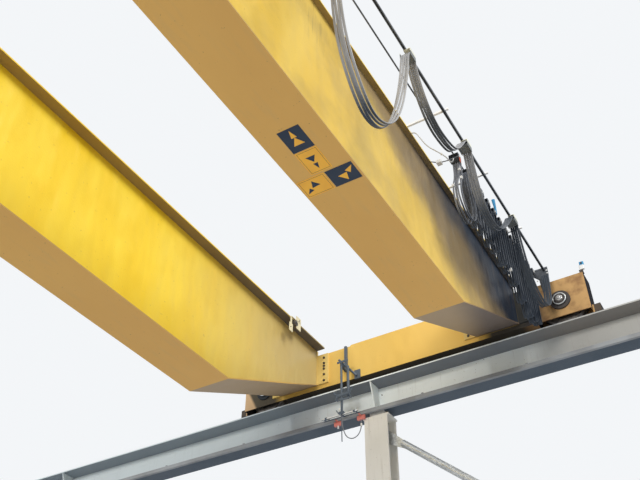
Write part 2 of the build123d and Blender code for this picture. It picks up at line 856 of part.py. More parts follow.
# Feed lead: from the girder's flange to the gathered cable's last hanger
flange_edge = right_x + top_flange_outer
feed_points = [
    (0, -3170, -12),
    (50, -3170, -12),
    (100, -3145, -145),
    (150, -3110, -255),
    (220, -3030, -297),
    (277, -2920, -308),
    (277, -2790, -280),
    (277, -2690, -200),
    (277, -2648, -103),
]  # from the flange's edge, the end bracket and the flange's top
feed_route = [(flange_edge + x, end_bracket_y + y, girder_top + z) for x, y, z in feed_points]
cord("feed_lead", feed_route, ((0, 0, 1), lead_radius))

mast_x = left_x + mast_place
mast_y = truck_inner - mast_reach
mast_bottom = conductor_bottom - mast_foot
mast_arm_z = truck_top - mast_arm_drop
collector_arm = (mast_x - collector_arm_left, mast_x + collector_arm_right)
collector_arm_z = conductor_bottom + collector_arm_rise
shoe_places = [mast_x + offset for offset in shoe_offsets]

# Collector mast: a post on the truck, an arm towards the hall, and a mast with two cross arms
with BuildPart() as mast:
    block(
        (mast_x - post_size / 2, mast_x + post_size / 2),
        (truck_inner - post_size, truck_inner),
        (mast_arm_z - 30, truck_top),
    )
    block(
        (mast_x - post_size / 2, mast_x + post_size / 2),
        (mast_y, truck_inner - post_size),
        (mast_arm_z - 30, mast_arm_z + 10),
    )
    with BuildSketch(Plane.XY.offset(mast_bottom)):
        with Locations((mast_x, mast_y)):
            Circle(mast_radius)
    extrude(amount=mast_arm_z + 30 - mast_bottom)
    for arm_y in (mast_y, mast_y + 60):
        with BuildSketch(Plane.YZ.offset(collector_arm[0])):
            with Locations((arm_y, collector_arm_z)):
                Circle(collector_arm_radius)
        extrude(amount=collector_arm[1] - collector_arm[0])
    for x in (collector_arm[0] + 40, mast_x, collector_arm[1] - 40):
        block((x - 12, x + 12), (mast_y, mast_y + 60), (collector_arm_z - 5, collector_arm_z + 5))
save(mast.part, "collector_mast")

# Collector shoes: two insulated carriers under the conductor line
shoe_top = conductor_bottom - shoe_gap
shoe_y = flange_inner - conductor_depth / 2
with BuildPart() as shoes:
    for x in shoe_places:
        block(
            (x - shoe_size[0] / 2, x + shoe_size[0] / 2),
            (shoe_y - shoe_size[1] / 2, shoe_y + shoe_size[1] / 2),
            (shoe_top - shoe_size[2], shoe_top),
        )
        block(
            (x - 10, x + 10),
            (mast_y + 60 + collector_arm_radius, shoe_y - shoe_size[1] / 2),
            (collector_arm_z - 16, collector_arm_z - 4),
        )
save(shoes.part, "collector_shoes")

# Collector lead: from the right shoe down in a loop and back up to the mast
lead_points = [
    (228, 120, -250),
    (190, 100, -330),
    (120, 70, -372),
    (50, 40, -340),
    (15, 20, -250),
]  # from the mast and the conductor line's underside
lead_route = [
    (shoe_places[1], shoe_y, shoe_top - shoe_size[2]),
    (shoe_places[1], shoe_y, conductor_bottom - 150),
    *[(mast_x + x, mast_y + y, conductor_bottom + z) for x, y, z in lead_points],
    (mast_x, mast_y, conductor_bottom - 130),
    (mast_x, mast_y, mast_bottom),
]
cord("collector_lead", lead_route, ((0, 1, 0), lead_radius))

# Crab carriages: an end beam over each rail with two wheels, and the crab's drive on the right one
crab_axle_z = crab_rail_top + crab_wheel_radius
crab_deck = crab_axle_z + crab_beam_depth
crab_rest = crab_wheel_radius - crab_wheel_gap
crab_beam_z = (crab_axle_z, crab_deck)
with BuildPart() as carriages:
    for girder_name, x in girders:
        half = crab_beam_width / 2
        block((x - half, x + half), (crab_y - crab_length / 2, crab_y + crab_length / 2), crab_beam_z)
        for way in (1, -1):
            with BuildSketch(Plane.YZ.offset(x)):
                with Locations((crab_y + way * crab_wheelbase / 2, crab_axle_z)):
                    Circle(crab_rest)
            extrude(amount=crab_wheel_width / 2, both=True)
    drive_from = right_x + crab_beam_width / 2
    drive_y = crab_y + crab_wheelbase / 2
    with BuildSketch(Plane.YZ.offset(drive_from)):
        with Locations((drive_y, crab_axle_z + crab_drive[2] / 2)):
            RectangleRounded(crab_drive[1], crab_drive[2], 30)
    extrude(amount=crab_drive[0] / 2)
    with BuildSketch(Plane.XZ.offset(-(drive_y - crab_drive[1] / 2))):
        with Locations((drive_from + crab_drive[0] / 4, crab_axle_z + crab_drive[2] / 2)):
            Circle(min(crab_motor_radius, crab_drive[0] / 4))
    extrude(amount=crab_motor_length)
    tow_z = crab_axle_z
    tow_back = tow_y - tow_plate - 8
    block(
        (right_x + crab_beam_width / 2, track_x + saddle_width / 2),
        (tow_back - tow_arm_size, tow_back),
        (tow_z, tow_z + tow_arm_size),
    )
    block(
        (track_x + saddle_width / 2 - tow_plate, track_x + saddle_width / 2),
        (tow_back - tow_arm_size, tow_back + tow_plate),
        (girder_top - tow_plate_low, tow_z),
    )
    block(
        (track_x - tow_plate_width / 2, track_x + saddle_width / 2),
        (tow_back, tow_back + tow_plate),
        (girder_top - tow_plate_low, track_bottom - 8),
    )
save(carriages.part, "crab_carriages")

# Crab cross beams: two beams between the carriages
with BuildPart() as crossing:
    between = (left_x + crab_beam_width / 2, right_x - crab_beam_width / 2)
    for way in (1, -1):
        y = crab_y + way * crab_cross_place
        block(between, (y - crab_cross_width / 2, y + crab_cross_width / 2), crab_beam_z)
save(crossing.part, "crab_cross_beams")

# Hoist drum: a plain drum with a flange and a journal at each end
hook_x = bridge_x + hoist_offset
front_fall = crab_y + sheave_pitch
back_fall = crab_y - sheave_pitch
drum_y = front_fall - rope_radius - drum_radius
drum_z = crab_deck + drum_over_deck
drum_left = hook_x - drum_length / 2
with BuildPart() as drum:
    with BuildSketch(Plane.YZ.offset(drum_left)):
        with Locations((drum_y, drum_z)):
            Circle(drum_radius)
    extrude(amount=drum_length)
    for x in (drum_left, drum_left + drum_length):
        for radius, reach in ((drum_radius + drum_flange, drum_flange_half), (drum_journal, stand_gap)):
            with BuildSketch(Plane.YZ.offset(x)):
                with Locations((drum_y, drum_z)):
                    Circle(radius)
            extrude(amount=reach, both=True)
save(drum.part, "hoist_drum")

# Hoist machinery: two stands for the drum, an equaliser beam, a gear case and the hoist motor
stand_left = drum_left - stand_gap - stand_thickness / 2
stand_right = drum_left + drum_length + stand_gap + stand_thickness / 2
with BuildPart() as hoist:
    for x in (stand_left, stand_right):
        thick = (x - stand_thickness / 2, x + stand_thickness / 2)
        block(
            thick,
            (drum_y - stand_width / 2, drum_y + stand_width / 2),
            (crab_deck, drum_z + stand_over_drum),
        )
        block(
            thick,
            (crab_y - crab_cross_place, crab_y + crab_cross_place),
            (crab_deck, crab_deck + stand_foot),
        )
    block(
        (stand_left, stand_right),
        (back_fall - equaliser[0] / 2, back_fall + equaliser[0] / 2),
        (crab_deck, crab_deck + equaliser[1]),
    )
    case_front = crab_y - gear_case_back + gear_case[1]
    case_z = (crab_deck + stand_foot, drum_z + gear_case_over)
    with BuildSketch(Plane.YZ.offset(stand_right)):
        with Locations((case_front - gear_case[1] / 2, (case_z[0] + case_z[1]) / 2)):
            RectangleRounded(gear_case[1], case_z[1] - case_z[0], gear_case_corner)
    extrude(amount=gear_case[0])
    with BuildSketch(Plane.YZ.offset(stand_right)):
        with Locations((crab_y - motor_place, crab_deck + motor_height)):
            Circle(motor_size[0])
    extrude(amount=-motor_size[1])
save(hoist.part, "hoist_machinery")

# Hoist ropes: from the drum down, under a sheave and up to the equaliser beam, twice
sheave_z = hook_height + hook_inner + shank_length + hook_outer + crosshead_drop
with BuildPart() as ropes:
    for way in (1, -1):
        fall_x = hook_x + way * sheave_place
        for y, top in ((front_fall, drum_z), (back_fall, crab_deck)):
            with BuildSketch(Plane.XY.offset(sheave_z)):
                with Locations((fall_x, y)):
                    RegularPolygon(rope_radius, 8)
            extrude(amount=top - sheave_z)
        with BuildSketch(Plane.XY.offset(sheave_z)):
            with Locations((fall_x, front_fall)):
                RegularPolygon(rope_radius, 8)
        revolve(axis=Axis((hook_x, crab_y, sheave_z), (1, 0, 0)), revolution_arc=-180)
save(ropes.part, "hoist_ropes")

# Hook block: two sheaves between cheeks, a crosshead and a forged hook
block_half = sheave_place + sheave_width / 2 + cheek_gap
groove = sheave_pitch - rope_radius
with BuildPart() as hook:
    for way in (1, -1):
        fall_x = hook_x + way * sheave_place
        with BuildSketch(Plane(origin=(fall_x, crab_y, sheave_z), x_dir=(0, 1, 0), z_dir=(0, 0, 1))):
            half = sheave_width / 2
            Polygon(
                (0, -half),
                (sheave_rim, -half),
                (sheave_rim, -half + 8),
                (groove, -rope_radius),
                (groove, rope_radius),
                (sheave_rim, half - 8),
                (sheave_rim, half),
                (0, half),
                align=None,
            )
        revolve(axis=Axis((fall_x, crab_y, sheave_z), (1, 0, 0)))
        with BuildSketch(Plane.YZ.offset(hook_x + way * block_half)):
            with Locations((crab_y, sheave_z)):
                Circle(cheek_radius)
            with Locations((crab_y, sheave_z - crosshead_drop / 2)):
                Rectangle(1.2 * crosshead[0], crosshead_drop + crosshead[1])
        extrude(amount=way * cheek_thickness)
    with BuildSketch(Plane.YZ.offset(hook_x)):
        with Locations((crab_y, sheave_z)):
            Circle(sheave_axle)
    extrude(amount=block_half + cheek_thickness + 15, both=True)
    crosshead_z = sheave_z - crosshead_drop
    block(
        (hook_x - block_half, hook_x + block_half),
        (crab_y - crosshead[0] / 2, crab_y + crosshead[0] / 2),
        (crosshead_z - crosshead[1] / 2, crosshead_z + crosshead[1] / 2),
    )
    eye_z = crosshead_z - shank_length - hook_outer
    with BuildSketch(Plane.XY.offset(crosshead_z)):
        with Locations((hook_x, crab_y)):
            Circle(shank_radius)
    extrude(amount=-(shank_length + hook_outer - hook_inner - hook_shift))
    with BuildSketch(Plane.XZ.offset(-crab_y)):
        with Locations((hook_x, eye_z)):
            Circle(hook_outer)
        with Locations((hook_x, eye_z + hook_shift)):
            Circle(hook_inner, mode=Mode.SUBTRACT)
        with Locations((hook_x + hook_outer, eye_z + hook_outer / 2)):
            Rectangle(2 * hook_outer - shank_radius, hook_outer, mode=Mode.SUBTRACT)
        with Locations((hook_x, eye_z + hook_outer - hook_shift)):
            Circle(shank_radius)
    extrude(amount=hook_thickness / 2, both=True)
save(hook.part, "hook_block")
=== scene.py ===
# %% [markdown]
# # An overhead travelling crane
# The crane stands on its own runway, and every plate, wheel and rail of it is already in the packed
# model. This lesson loads that model as a fixed frame, sets up the camera and the light, and then
# gives each piece its finish and its small details: cables, bolts, signs and rollers.

# %% Load the frame
from math import atan2, cos, pi, radians, sin

import bmesh
import bpy
from mathutils import Matrix, Vector, noise


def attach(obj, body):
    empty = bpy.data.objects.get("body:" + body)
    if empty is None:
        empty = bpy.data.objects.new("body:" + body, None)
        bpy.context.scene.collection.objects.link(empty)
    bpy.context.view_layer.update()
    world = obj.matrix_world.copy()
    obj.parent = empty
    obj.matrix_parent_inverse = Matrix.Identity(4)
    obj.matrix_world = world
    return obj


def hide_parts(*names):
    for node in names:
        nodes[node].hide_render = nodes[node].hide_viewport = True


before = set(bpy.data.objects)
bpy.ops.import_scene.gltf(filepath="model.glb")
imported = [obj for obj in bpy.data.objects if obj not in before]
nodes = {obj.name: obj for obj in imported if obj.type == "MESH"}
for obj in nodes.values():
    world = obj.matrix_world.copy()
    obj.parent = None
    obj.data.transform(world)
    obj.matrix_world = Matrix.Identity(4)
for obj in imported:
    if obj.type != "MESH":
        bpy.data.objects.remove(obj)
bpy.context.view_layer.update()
print("nodes in the frame:", len(nodes))

# %% [markdown]
# The photograph was taken from the floor, looking up along the bridge. Camera height, turn and tilt
# were solved from the straight edges of the two girders, so the camera is placed with plain
# numbers. The turn is about the world's Z, then the tilt about the camera's own X, and last a very
# small roll about its line of sight.

# %% Camera
camera_place = Vector((7.67, 1.867, 1.6))
camera_turn, camera_tilt, camera_roll = radians(31.21), radians(40.55), radians(0.36)
camera_data = bpy.data.cameras.new("camera")
camera_data.lens = 45.94
camera_data.sensor_width = 36.0
camera_data.clip_end = 500.0
camera = bpy.data.objects.new("camera", camera_data)
turned = Matrix.Rotation(camera_turn, 4, "Z") @ Matrix.Rotation(pi / 2 + camera_tilt, 4, "X")
camera.matrix_world = Matrix.Translation(camera_place) @ turned @ Matrix.Rotation(camera_roll, 4, "Z")
bpy.context.scene.collection.objects.link(camera)
bpy.context.scene.camera = camera
print("camera looks along", [round(v, 3) for v in camera.matrix_world.to_3x3() @ Vector((0, 0, -1))])

# %% [markdown]
# Light and finishes are small networks of nodes. The helper below adds one node and fills its
# sockets, from a value or from another node's output, so that each network reads as a short list.

# %% A helper for nodes
def add(tree, kind, inputs=None, **settings):
    made = tree.nodes.new("ShaderNode" + kind)
    for setting, value in settings.items():
        setattr(made, setting, value)
    for socket, value in (inputs or {}).items():
        if isinstance(value, bpy.types.NodeSocket):
            tree.links.new(value, made.inputs[socket])
        else:
            made.inputs[socket].default_value = value
    return made


# %% [markdown]
# Two suns light the crane. One stands high to the camera's right and lights the webs over the top
# of the other girder. The other is low, behind the camera, and lights the trucks and the runway,
# which the first one leaves in shade. The world fills the rest evenly. To the camera, in gloss and
# through glass the world is a pale backdrop. Light Path tells such rays apart, so the backdrop's
# brightness adds no light.

# %% Light and floor
scene = bpy.context.scene
scene.view_settings.view_transform = "Standard"

for name, strength, size, direction in (
    ("high sun", 2.35, 32, (1.0, -0.25, 0.75)), ("low sun", 1.85, 20, (0.05, -1.0, 0.14))
):
    sun_data = bpy.data.lights.new(name, "SUN")
    sun_data.energy = strength
    sun_data.angle = radians(size)
    sun_data.color = (1.0, 0.97, 0.91)
    sun = bpy.data.objects.new(name, sun_data)
    sun.rotation_euler = Vector(direction).to_track_quat("Z", "Y").to_euler()
    scene.collection.objects.link(sun)

world = bpy.data.worlds.new("plain surroundings")
world.use_nodes = True
scene.world = world
tree = world.node_tree
tree.nodes.clear()
fill = add(tree, "Background", {"Color": (0.8, 0.87, 1.0, 1), "Strength": 0.42})
backdrop = add(tree, "Background", {"Color": (0.9, 0.92, 0.94, 1)})
path = add(tree, "LightPath").outputs
seen = path["Is Camera Ray"]
for ray in ("Is Glossy Ray", "Is Transmission Ray"):
    seen = add(tree, "Math", {0: seen, 1: path[ray]}, operation="MAXIMUM").outputs[0]
pick = add(tree, "MixShader", {0: seen, 1: fill.outputs[0], 2: backdrop.outputs[0]})
add(tree, "OutputWorld", {0: pick.outputs[0]})

floor_mesh = bmesh.new()
bmesh.ops.create_grid(floor_mesh, x_segments=1, y_segments=1, size=70)
floor_data = bpy.data.meshes.new("floor")
floor_mesh.to_mesh(floor_data)
floor_mesh.free()
floor = bpy.data.objects.new("floor", floor_data)
scene.collection.objects.link(floor)
floor_finish = bpy.data.materials.new("pale floor")
floor_finish.use_nodes = True
floor_sockets = floor_finish.node_tree.nodes["Principled BSDF"].inputs
floor_sockets["Base Color"].default_value = (0.72, 0.73, 0.74, 1)
floor_sockets["Roughness"].default_value = 0.85
floor_data.materials.append(floor_finish)

# %% [markdown]
# Four effects come back in many finishes, so each is a node group that puts out one mask or height.
# **Blotches** are soft clouds of any size, made from noise whose contrast is raised. The stretch
# vector draws them out along an axis, which also gives run-down streaks and long plate waves.
# **Speckle** is the fine tooth of a sprayed or cast surface. **Settled dust** lies where a surface
# looks up. **Spangle** is the crystal pattern of hot-dip zinc, a Voronoi texture.

# %% Shared effects
def new_group(name, inputs, output="Mask"):
    tree = bpy.data.node_groups.new(name, "ShaderNodeTree")
    for socket, value in inputs.items():
        kind = "NodeSocketFloat" if isinstance(value, (int, float)) else "NodeSocketVector"
        tree.interface.new_socket(name=socket, in_out="INPUT", socket_type=kind).default_value = value
    tree.interface.new_socket(name=output, in_out="OUTPUT", socket_type="NodeSocketFloat")
    return tree, tree.nodes.new("NodeGroupInput").outputs, tree.nodes.new("NodeGroupOutput").inputs[0]


def pattern(tree, kind, place, size, **inputs):
    frequency = add(tree, "Math", {0: 1.0, 1: size}, operation="DIVIDE").outputs[0]
    return add(tree, "Tex" + kind, {"Vector": place, "Scale": frequency, **inputs}).outputs


blotches, given, out = new_group(
    "blotches", {"Stretch": (1.0, 1.0, 1.0), "Size": 1.0, "Detail": 3.0, "Low": 0.4, "High": 0.6}
)
place = add(blotches, "TexCoord").outputs["Object"]
scaled = add(blotches, "VectorMath", {0: place, 1: given["Stretch"]}, operation="DIVIDE").outputs[0]
cloud = pattern(blotches, "Noise", scaled, given["Size"], Detail=given["Detail"])["Fac"]
contrast = {"Value": cloud, "From Min": given["Low"], "From Max": given["High"]}
ramp = add(blotches, "MapRange", contrast, interpolation_type="SMOOTHSTEP")
blotches.links.new(ramp.outputs["Result"], out)

speckle, given, out = new_group("speckle", {"Size": 0.01}, "Height")
place = add(speckle, "TexCoord").outputs["Object"]
speckle.links.new(pattern(speckle, "Noise", place, given["Size"], Detail=4.0, Roughness=0.6)["Fac"], out)

settled_dust, given, out = new_group("settled dust", {"Amount": 0.8})
up = add(settled_dust, "SeparateXYZ", {0: add(settled_dust, "NewGeometry").outputs["Normal"]}).outputs["Z"]
flat = add(settled_dust, "MapRange", {"Value": up, "From Min": 0.5, "From Max": 1.0}).outputs["Result"]
lain = add(settled_dust, "Math", {0: flat, 1: given["Amount"]}, operation="MULTIPLY")
settled_dust.links.new(lain.outputs[0], out)

spangle, given, out = new_group("spangle", {"Size": 0.03})
place = add(spangle, "TexCoord").outputs["Object"]
crystal = pattern(spangle, "Voronoi", place, given["Size"])["Color"]
spangle.links.new(add(spangle, "SeparateColor", {0: crystal}).outputs["Red"], out)
print("effects:", [g.name for g in bpy.data.node_groups])

# %% [markdown]
# A finish starts from one colour and lays others over it, each through a mask and by an amount. The
# masks come from the effects, from the place on the crane and from the way that a surface faces.
# `rough` varies the roughness by a mask, and `bump` puts heights in a row of Bump nodes, each on
# top of the one before. Values that are the same all over go straight on the shader's own sockets.

# %% A class for finishes
X, Y, Z, DOWN = (1, 0, 0), (0, 1, 0), (0, 0, 1), (0, 0, -1)


class Finish:
    def __init__(self, name, colour, roughness, metallic=0.0, coat=0.0):
        self.material = bpy.data.materials.new(name)
        self.material.use_nodes = True
        self.tree = self.material.node_tree
        self.sockets = self.tree.nodes["Principled BSDF"].inputs
        self.colour = (*colour, 1)
        self.set("Base Color", self.colour)
        self.set("Roughness", roughness)
        self.set("Metallic", metallic)
        self.set("Coat Weight", coat)
        self.set("Coat Roughness", 0.25)
        if not metallic:
            self.set("Specular IOR Level", 0.3)

    def set(self, socket, value):
        self.sockets[socket].default_value = value

    def add(self, kind, inputs=None, **settings):
        return add(self.tree, kind, inputs, **settings)

    def effect(self, name, output="Mask", **inputs):
        made = self.tree.nodes.new("ShaderNodeGroup")
        made.node_tree = bpy.data.node_groups[name]
        for socket, value in inputs.items():
            made.inputs[socket].default_value = value
        return made.outputs[output]

    def blotches(self, size, detail, low, high, stretch=(1.0, 1.0, 1.0)):
        return self.effect("blotches", Stretch=stretch, Size=size, Detail=detail, Low=low, High=high)

    def tooth(self, size):
        return self.effect("speckle", "Height", Size=size)

    def math(self, operation, first, second=0.0):
        return self.add("Math", {0: first, 1: second}, operation=operation).outputs[0]

    def times(self, first, *others):
        for each in others:
            first = self.math("MULTIPLY", first, each)
        return first

    def between(self, mask, low, high):
        return self.add("MapRange", {"Value": mask, "To Min": low, "To Max": high}).outputs["Result"]

    def ramp(self, value, start, end):
        ends = {"Value": value, "From Min": start, "From Max": end}
        return self.add("MapRange", ends, interpolation_type="SMOOTHSTEP").outputs["Result"]

    def in_direction(self, vector, direction, start, end):
        made = self.add("VectorMath", {0: vector, 1: direction}, operation="DOT_PRODUCT")
        return self.ramp(made.outputs["Value"], start, end)

    def along(self, direction, start, end):
        """A mask that goes from 0 to 1 between two distances along a direction, from the origin."""
        return self.in_direction(self.add("TexCoord").outputs["Object"], direction, start, end)

    def facing(self, direction, start, end):
        """A mask that goes from 0 to 1 as the surface turns towards a direction."""
        return self.in_direction(self.add("NewGeometry").outputs["Normal"], direction, start, end)

    def beside(self, axis, middle, start, end):
        """A mask that goes from 0 to 1 with the distance from a plane, on both of its sides."""
        place = self.add("SeparateXYZ", {0: self.add("TexCoord").outputs["Object"]}).outputs[axis]
        return self.ramp(self.math("ABSOLUTE", self.math("SUBTRACT", place, middle)), start, end)

    def layer(self, colour, mask, amount=1.0):
        inputs = {0: self.times(mask, amount), 6: self.colour, 7: (*colour, 1)}
        self.colour = self.add("Mix", inputs, data_type="RGBA").outputs[2]
        self.tree.links.new(self.colour, self.sockets["Base Color"])

    def rough(self, mask, low, high):
        self.tree.links.new(self.between(mask, low, high), self.sockets["Roughness"])

    def bump(self, *heights):
        normal = None
        for height, distance in heights:
            made = self.add("Bump", {"Height": height, "Distance": distance})
            if normal:
                self.tree.links.new(normal, made.inputs["Normal"])
            normal = made.outputs["Normal"]
        self.tree.links.new(normal, self.sockets["Normal"])


# %% [markdown]
# The bridge is painted in a bright traffic yellow. On the webs the thin plates are slightly wavy between
# their hidden stiffeners. Pale bands drawn out upwards are a painted sheen of those waves, and the paint also
# shows middle clouds and small pits. Three scales of noise make this: long waves drawn out upwards, middle
# clouds and fine specks. Where the paint looks straight down, soot and painted shade darken it, and dust lies
# where it looks up.

# %% Bridge paint
def bridge_paint(name, clean, pale, dusk, soot_and_shade=(0.42, 0.27, 0.09), soot_and_shade_amount=0.5):
    made = Finish(name, clean, 0.42, coat=0.04)
    # The pale layer is a painted sheen, in place of light caught by the wavy plates.
    made.layer(pale, made.blotches(0.9, 2.0, 0.38, 0.68, stretch=(1.0, 0.55, 2.4)), 0.75)
    clouds = made.blotches(0.42, 4.0, 0.45, 0.75, stretch=(1.0, 1.0, 1.3))
    made.layer(dusk, clouds, 0.45)
    made.layer((0.3, 0.19, 0.06), made.blotches(0.035, 2.0, 0.7, 0.76), 0.35)
    # Downward faces are darkened by soot together with painted shade.
    made.layer(soot_and_shade, made.facing(DOWN, 0.5, 0.95), soot_and_shade_amount)
    made.layer((0.3, 0.27, 0.22), made.effect("settled dust", Amount=0.7))
    made.rough(clouds, 0.38, 0.56)
    waves = made.blotches(0.55, 2.0, 0.2, 0.8, stretch=(1.0, 0.8, 2.0))
    made.bump((waves, 0.028), (made.tooth(0.02), 0.002))
    return made


yellows = (0.88, 0.6, 0.035), (0.92, 0.67, 0.075), (0.78, 0.5, 0.03)
bridge_yellow = bridge_paint("bridge yellow", *yellows)

# %% [markdown]
# The left girder is the cleaner one, in a lemon tone that turns a darker brown towards the far end.

# %% Left girder's webs
left_yellow = bridge_paint("left web yellow", (0.92, 0.64, 0.022), (0.96, 0.72, 0.055), (0.84, 0.56, 0.02))
left_yellow.layer((0.43, 0.345, 0.19), left_yellow.along(Y, 7.0, 10.9), 0.85)

# %% [markdown]
# The underside of the top flanges is darkened to brown by soot and painted shade, most towards the far end,
# and the flanges turn grey where the girders end.

# %% Top flange paint
flange_yellow = made = bridge_paint("top flange yellow", *yellows, soot_and_shade=(0.25, 0.16, 0.065), soot_and_shade_amount=0.88)
# Painted shade on the flanges' undersides, stronger towards the far end.
darker = made.times(made.facing(DOWN, 0.5, 0.95), made.along(Y, 6.0, 10.2))
made.layer((0.115, 0.1, 0.09), darker, 0.85)
made.layer((0.13, 0.12, 0.115), made.along(Y, 9.5, 10.4), 0.7)

# %% [markdown]
# The end plates are the girders' yellow, with painted shade where the festoon's cables hang before them.

# %% End plate paint
made = bridge_paint("end plate yellow", (0.8, 0.58, 0.17), (0.85, 0.66, 0.27), (0.7, 0.47, 0.12))
plate_yellow = made
# Painted shade of the hanging cables on the right part of the far end plates.
made.layer((0.03, 0.045, 0.068), made.times(made.along(X, 5.2, 5.26), made.along(Y, 5.0, 6.0)), 0.93)

# %% [markdown]
# The right girder's outer web is dirtier and darker than the rest. The festoon's cables hang before its end,
# and years of rubbing and dust left it grey-brown there, while painted shadow of the cables darkens it
# further.
# The grime's edge is a soft cloud that leans along the girder, first brown grime and then a nearly black
# painted shadow, and short runs come down from the top.

# %% Grimy web paint
web_yellow = made = bridge_paint(
    "grimy shaded web yellow", (0.88, 0.58, 0.06), (0.93, 0.66, 0.12), (0.76, 0.49, 0.05)
)
made.set("Specular IOR Level", 0.05)
made.set("Coat Weight", 0.0)
made.layer((0.72, 0.51, 0.17), made.along(Y, 2.5, 8.5), 0.6)
outer_face = made.along(X, 5.0, 5.1)
clouds = made.blotches(0.6, 4.0, 0.25, 0.75, stretch=(1.0, 1.3, 0.9))
grime_and_shadow = made.math("ADD", made.along((0, 0.42, 1), 10.6, 12.6), made.times(clouds, 0.2))
made.layer((0.25, 0.185, 0.115), made.times(made.ramp(grime_and_shadow, 0.04, 0.44), outer_face), 0.88)
# Nearly black: painted shadow of the festoon's cables, laid over the grime at the far end.
made.layer((0.018, 0.032, 0.058), made.times(made.ramp(grime_and_shadow, 0.62, 1.06), outer_face), 0.97)
runs = made.blotches(0.3, 3.0, 0.56, 0.74, stretch=(1.0, 0.1, 1.6))
made.layer((0.17, 0.11, 0.06), made.times(runs, made.along(Z, 7.75, 8.45), outer_face), 0.55)

# %% [markdown]
# The bottom flanges are painted the same yellow, but oily soot has dulled them to a tan. They are
# smoother and more even than the webs, and the sloping part near the ends has the most soot.

# %% Soffit paint
soffit_tan = made = Finish("sooty soffit", (0.78, 0.455, 0.125), 0.5)
made.layer((0.72, 0.405, 0.11), made.blotches(0.8, 4.0, 0.35, 0.7, stretch=(1.0, 2.2, 1.0)), 0.6)
made.layer((0.62, 0.41, 0.16), made.blotches(0.12, 3.0, 0.5, 0.8, stretch=(0.6, 4.0, 1.0)), 0.3)
made.layer((0.2, 0.13, 0.06), made.blotches(0.03, 2.0, 0.72, 0.77), 0.5)
sloping = made.facing(Y, 0.15, 0.35)
flange_edge = made.facing(X, 0.6, 0.9)
made.layer((0.3, 0.235, 0.165), sloping, 0.78)
made.layer((0.5, 0.335, 0.105), flange_edge, 0.7)
sooty_side = made.times(sloping, made.along((1, 0, 0.6), 9.18, 9.65))
rubbed_edge = made.times(flange_edge, made.along((0.5, 1, 0), 11.2, 12.2))
made.layer((0.095, 0.08, 0.085), made.math("ADD", sooty_side, rubbed_edge), 0.8)
made.bump((made.blotches(0.9, 2.0, 0.2, 0.8), 0.01))

# %% [markdown]
# The trucks' faces are the dirtiest yellow. Grease thrown from the wheels has made them orange, and
# rust shows in patches. Past the right girder the plate is rustier than between the girders. The bearing
# housings stand proud of the plate and are nearly black, and so are the rail sweeps. Between the girders
# the plate is lifted by painted light, and its end face, the part behind the cables and the part left of the
# left girder carry painted shade, with a painted lit strip at the left end. Most of this is on the far
# truck's inner face, where the photograph shows it.

# %% Truck paint
# The trucks' undersides are nearly black with soot and painted shade.
truck_yellow = made = bridge_paint(
    "truck yellow", (0.77, 0.505, 0.12), (0.81, 0.56, 0.17), (0.7, 0.44, 0.105),
    soot_and_shade=(0.05, 0.055, 0.06), soot_and_shade_amount=0.95,
)
made.set("Specular IOR Level", 0.0)
made.set("Coat Weight", 0.0)
truck_middle = 3.47
rusty = made.along(X, 5.25, 5.45)
made.layer((0.52, 0.315, 0.15), rusty, 0.88)
made.layer((0.25, 0.135, 0.07), made.times(made.blotches(0.16, 5.0, 0.42, 0.7), rusty), 0.8)
far_end = made.along(Y, 5.0, 6.0)
inner_face = made.times(made.facing((0, -1, 0), 0.5, 0.9), far_end)
# Painted light on the truck's face between the girders, where the right girder's shadow falls.
painted_light_between_girders = made.times(made.along(X, 2.8, 3.9), made.along(X, 4.9, 4.7), inner_face)
made.layer((1.0, 0.68, 0.21), painted_light_between_girders, 0.55)
# Painted shade on the far truck's end faces that look along X.
made.layer((0.02, 0.026, 0.036), made.times(made.facing(X, 0.6, 0.9), far_end), 0.97)
housings = made.times(made.beside("Y", 0, 11.098, 11.095), made.beside("X", truck_middle, 2.2, 2.22))
made.layer((0.055, 0.062, 0.072), housings, 0.92)
# Painted shade on the truck's face behind the festoon's cables.
shade_behind_cables = made.times(made.along(X, 4.72, 4.86), made.along(X, 5.66, 5.4), inner_face)
made.layer((0.035, 0.05, 0.072), shade_behind_cables, 0.9)
# Painted shade on the truck's face left of the left girder.
made.layer((0.04, 0.048, 0.058), made.times(made.along(X, 1.5, 1.25), inner_face), 0.92)
# Painted light: the lit strip at the left end of the truck's face.
made.layer((0.66, 0.45, 0.26), made.times(made.along((1, 0, 0.5), 4.9, 4.84), inner_face), 0.9)
made.layer((0.06, 0.06, 0.062), made.beside("X", truck_middle, 2.77, 2.775), 0.9)

# %% [markdown]
# The runway has several paints. The beams are a light grey, and the columns a warm stone colour.
# Both get clouds and thin run-down streaks in a darker tone, and the beams are darkened below by soot and
# painted shade.

# %% Runway paints
def steel_paint(name, clean, soiled, streak, roughness=0.55, size=0.5, soot_and_shade_below=None):
    made = Finish(name, clean, roughness)
    clouds = made.blotches(size, 5.0, 0.4, 0.72)
    made.layer(soiled, clouds, 0.6)
    made.layer(streak, made.blotches(0.1, 4.0, 0.58, 0.8, stretch=(0.3, 0.3, 6.0)), 0.45)
    made.layer((0.16, 0.09, 0.05), made.blotches(0.03, 3.0, 0.7, 0.74), 0.6)
    # Downward faces: soot and painted shade.
    if soot_and_shade_below:
        made.layer(soot_and_shade_below, made.facing(DOWN, 0.5, 0.95), 0.95)
    made.layer((0.26, 0.24, 0.21), made.effect("settled dust", Amount=0.6))
    made.rough(clouds, roughness - 0.07, roughness + 0.12)
    made.bump((made.tooth(0.012), 0.0015))
    return made


beam_grey = made = steel_paint(
    "beam grey", (0.84, 0.9, 0.91), (0.77, 0.82, 0.83), (0.54, 0.54, 0.53), soot_and_shade_below=(0.145, 0.16, 0.185)
)
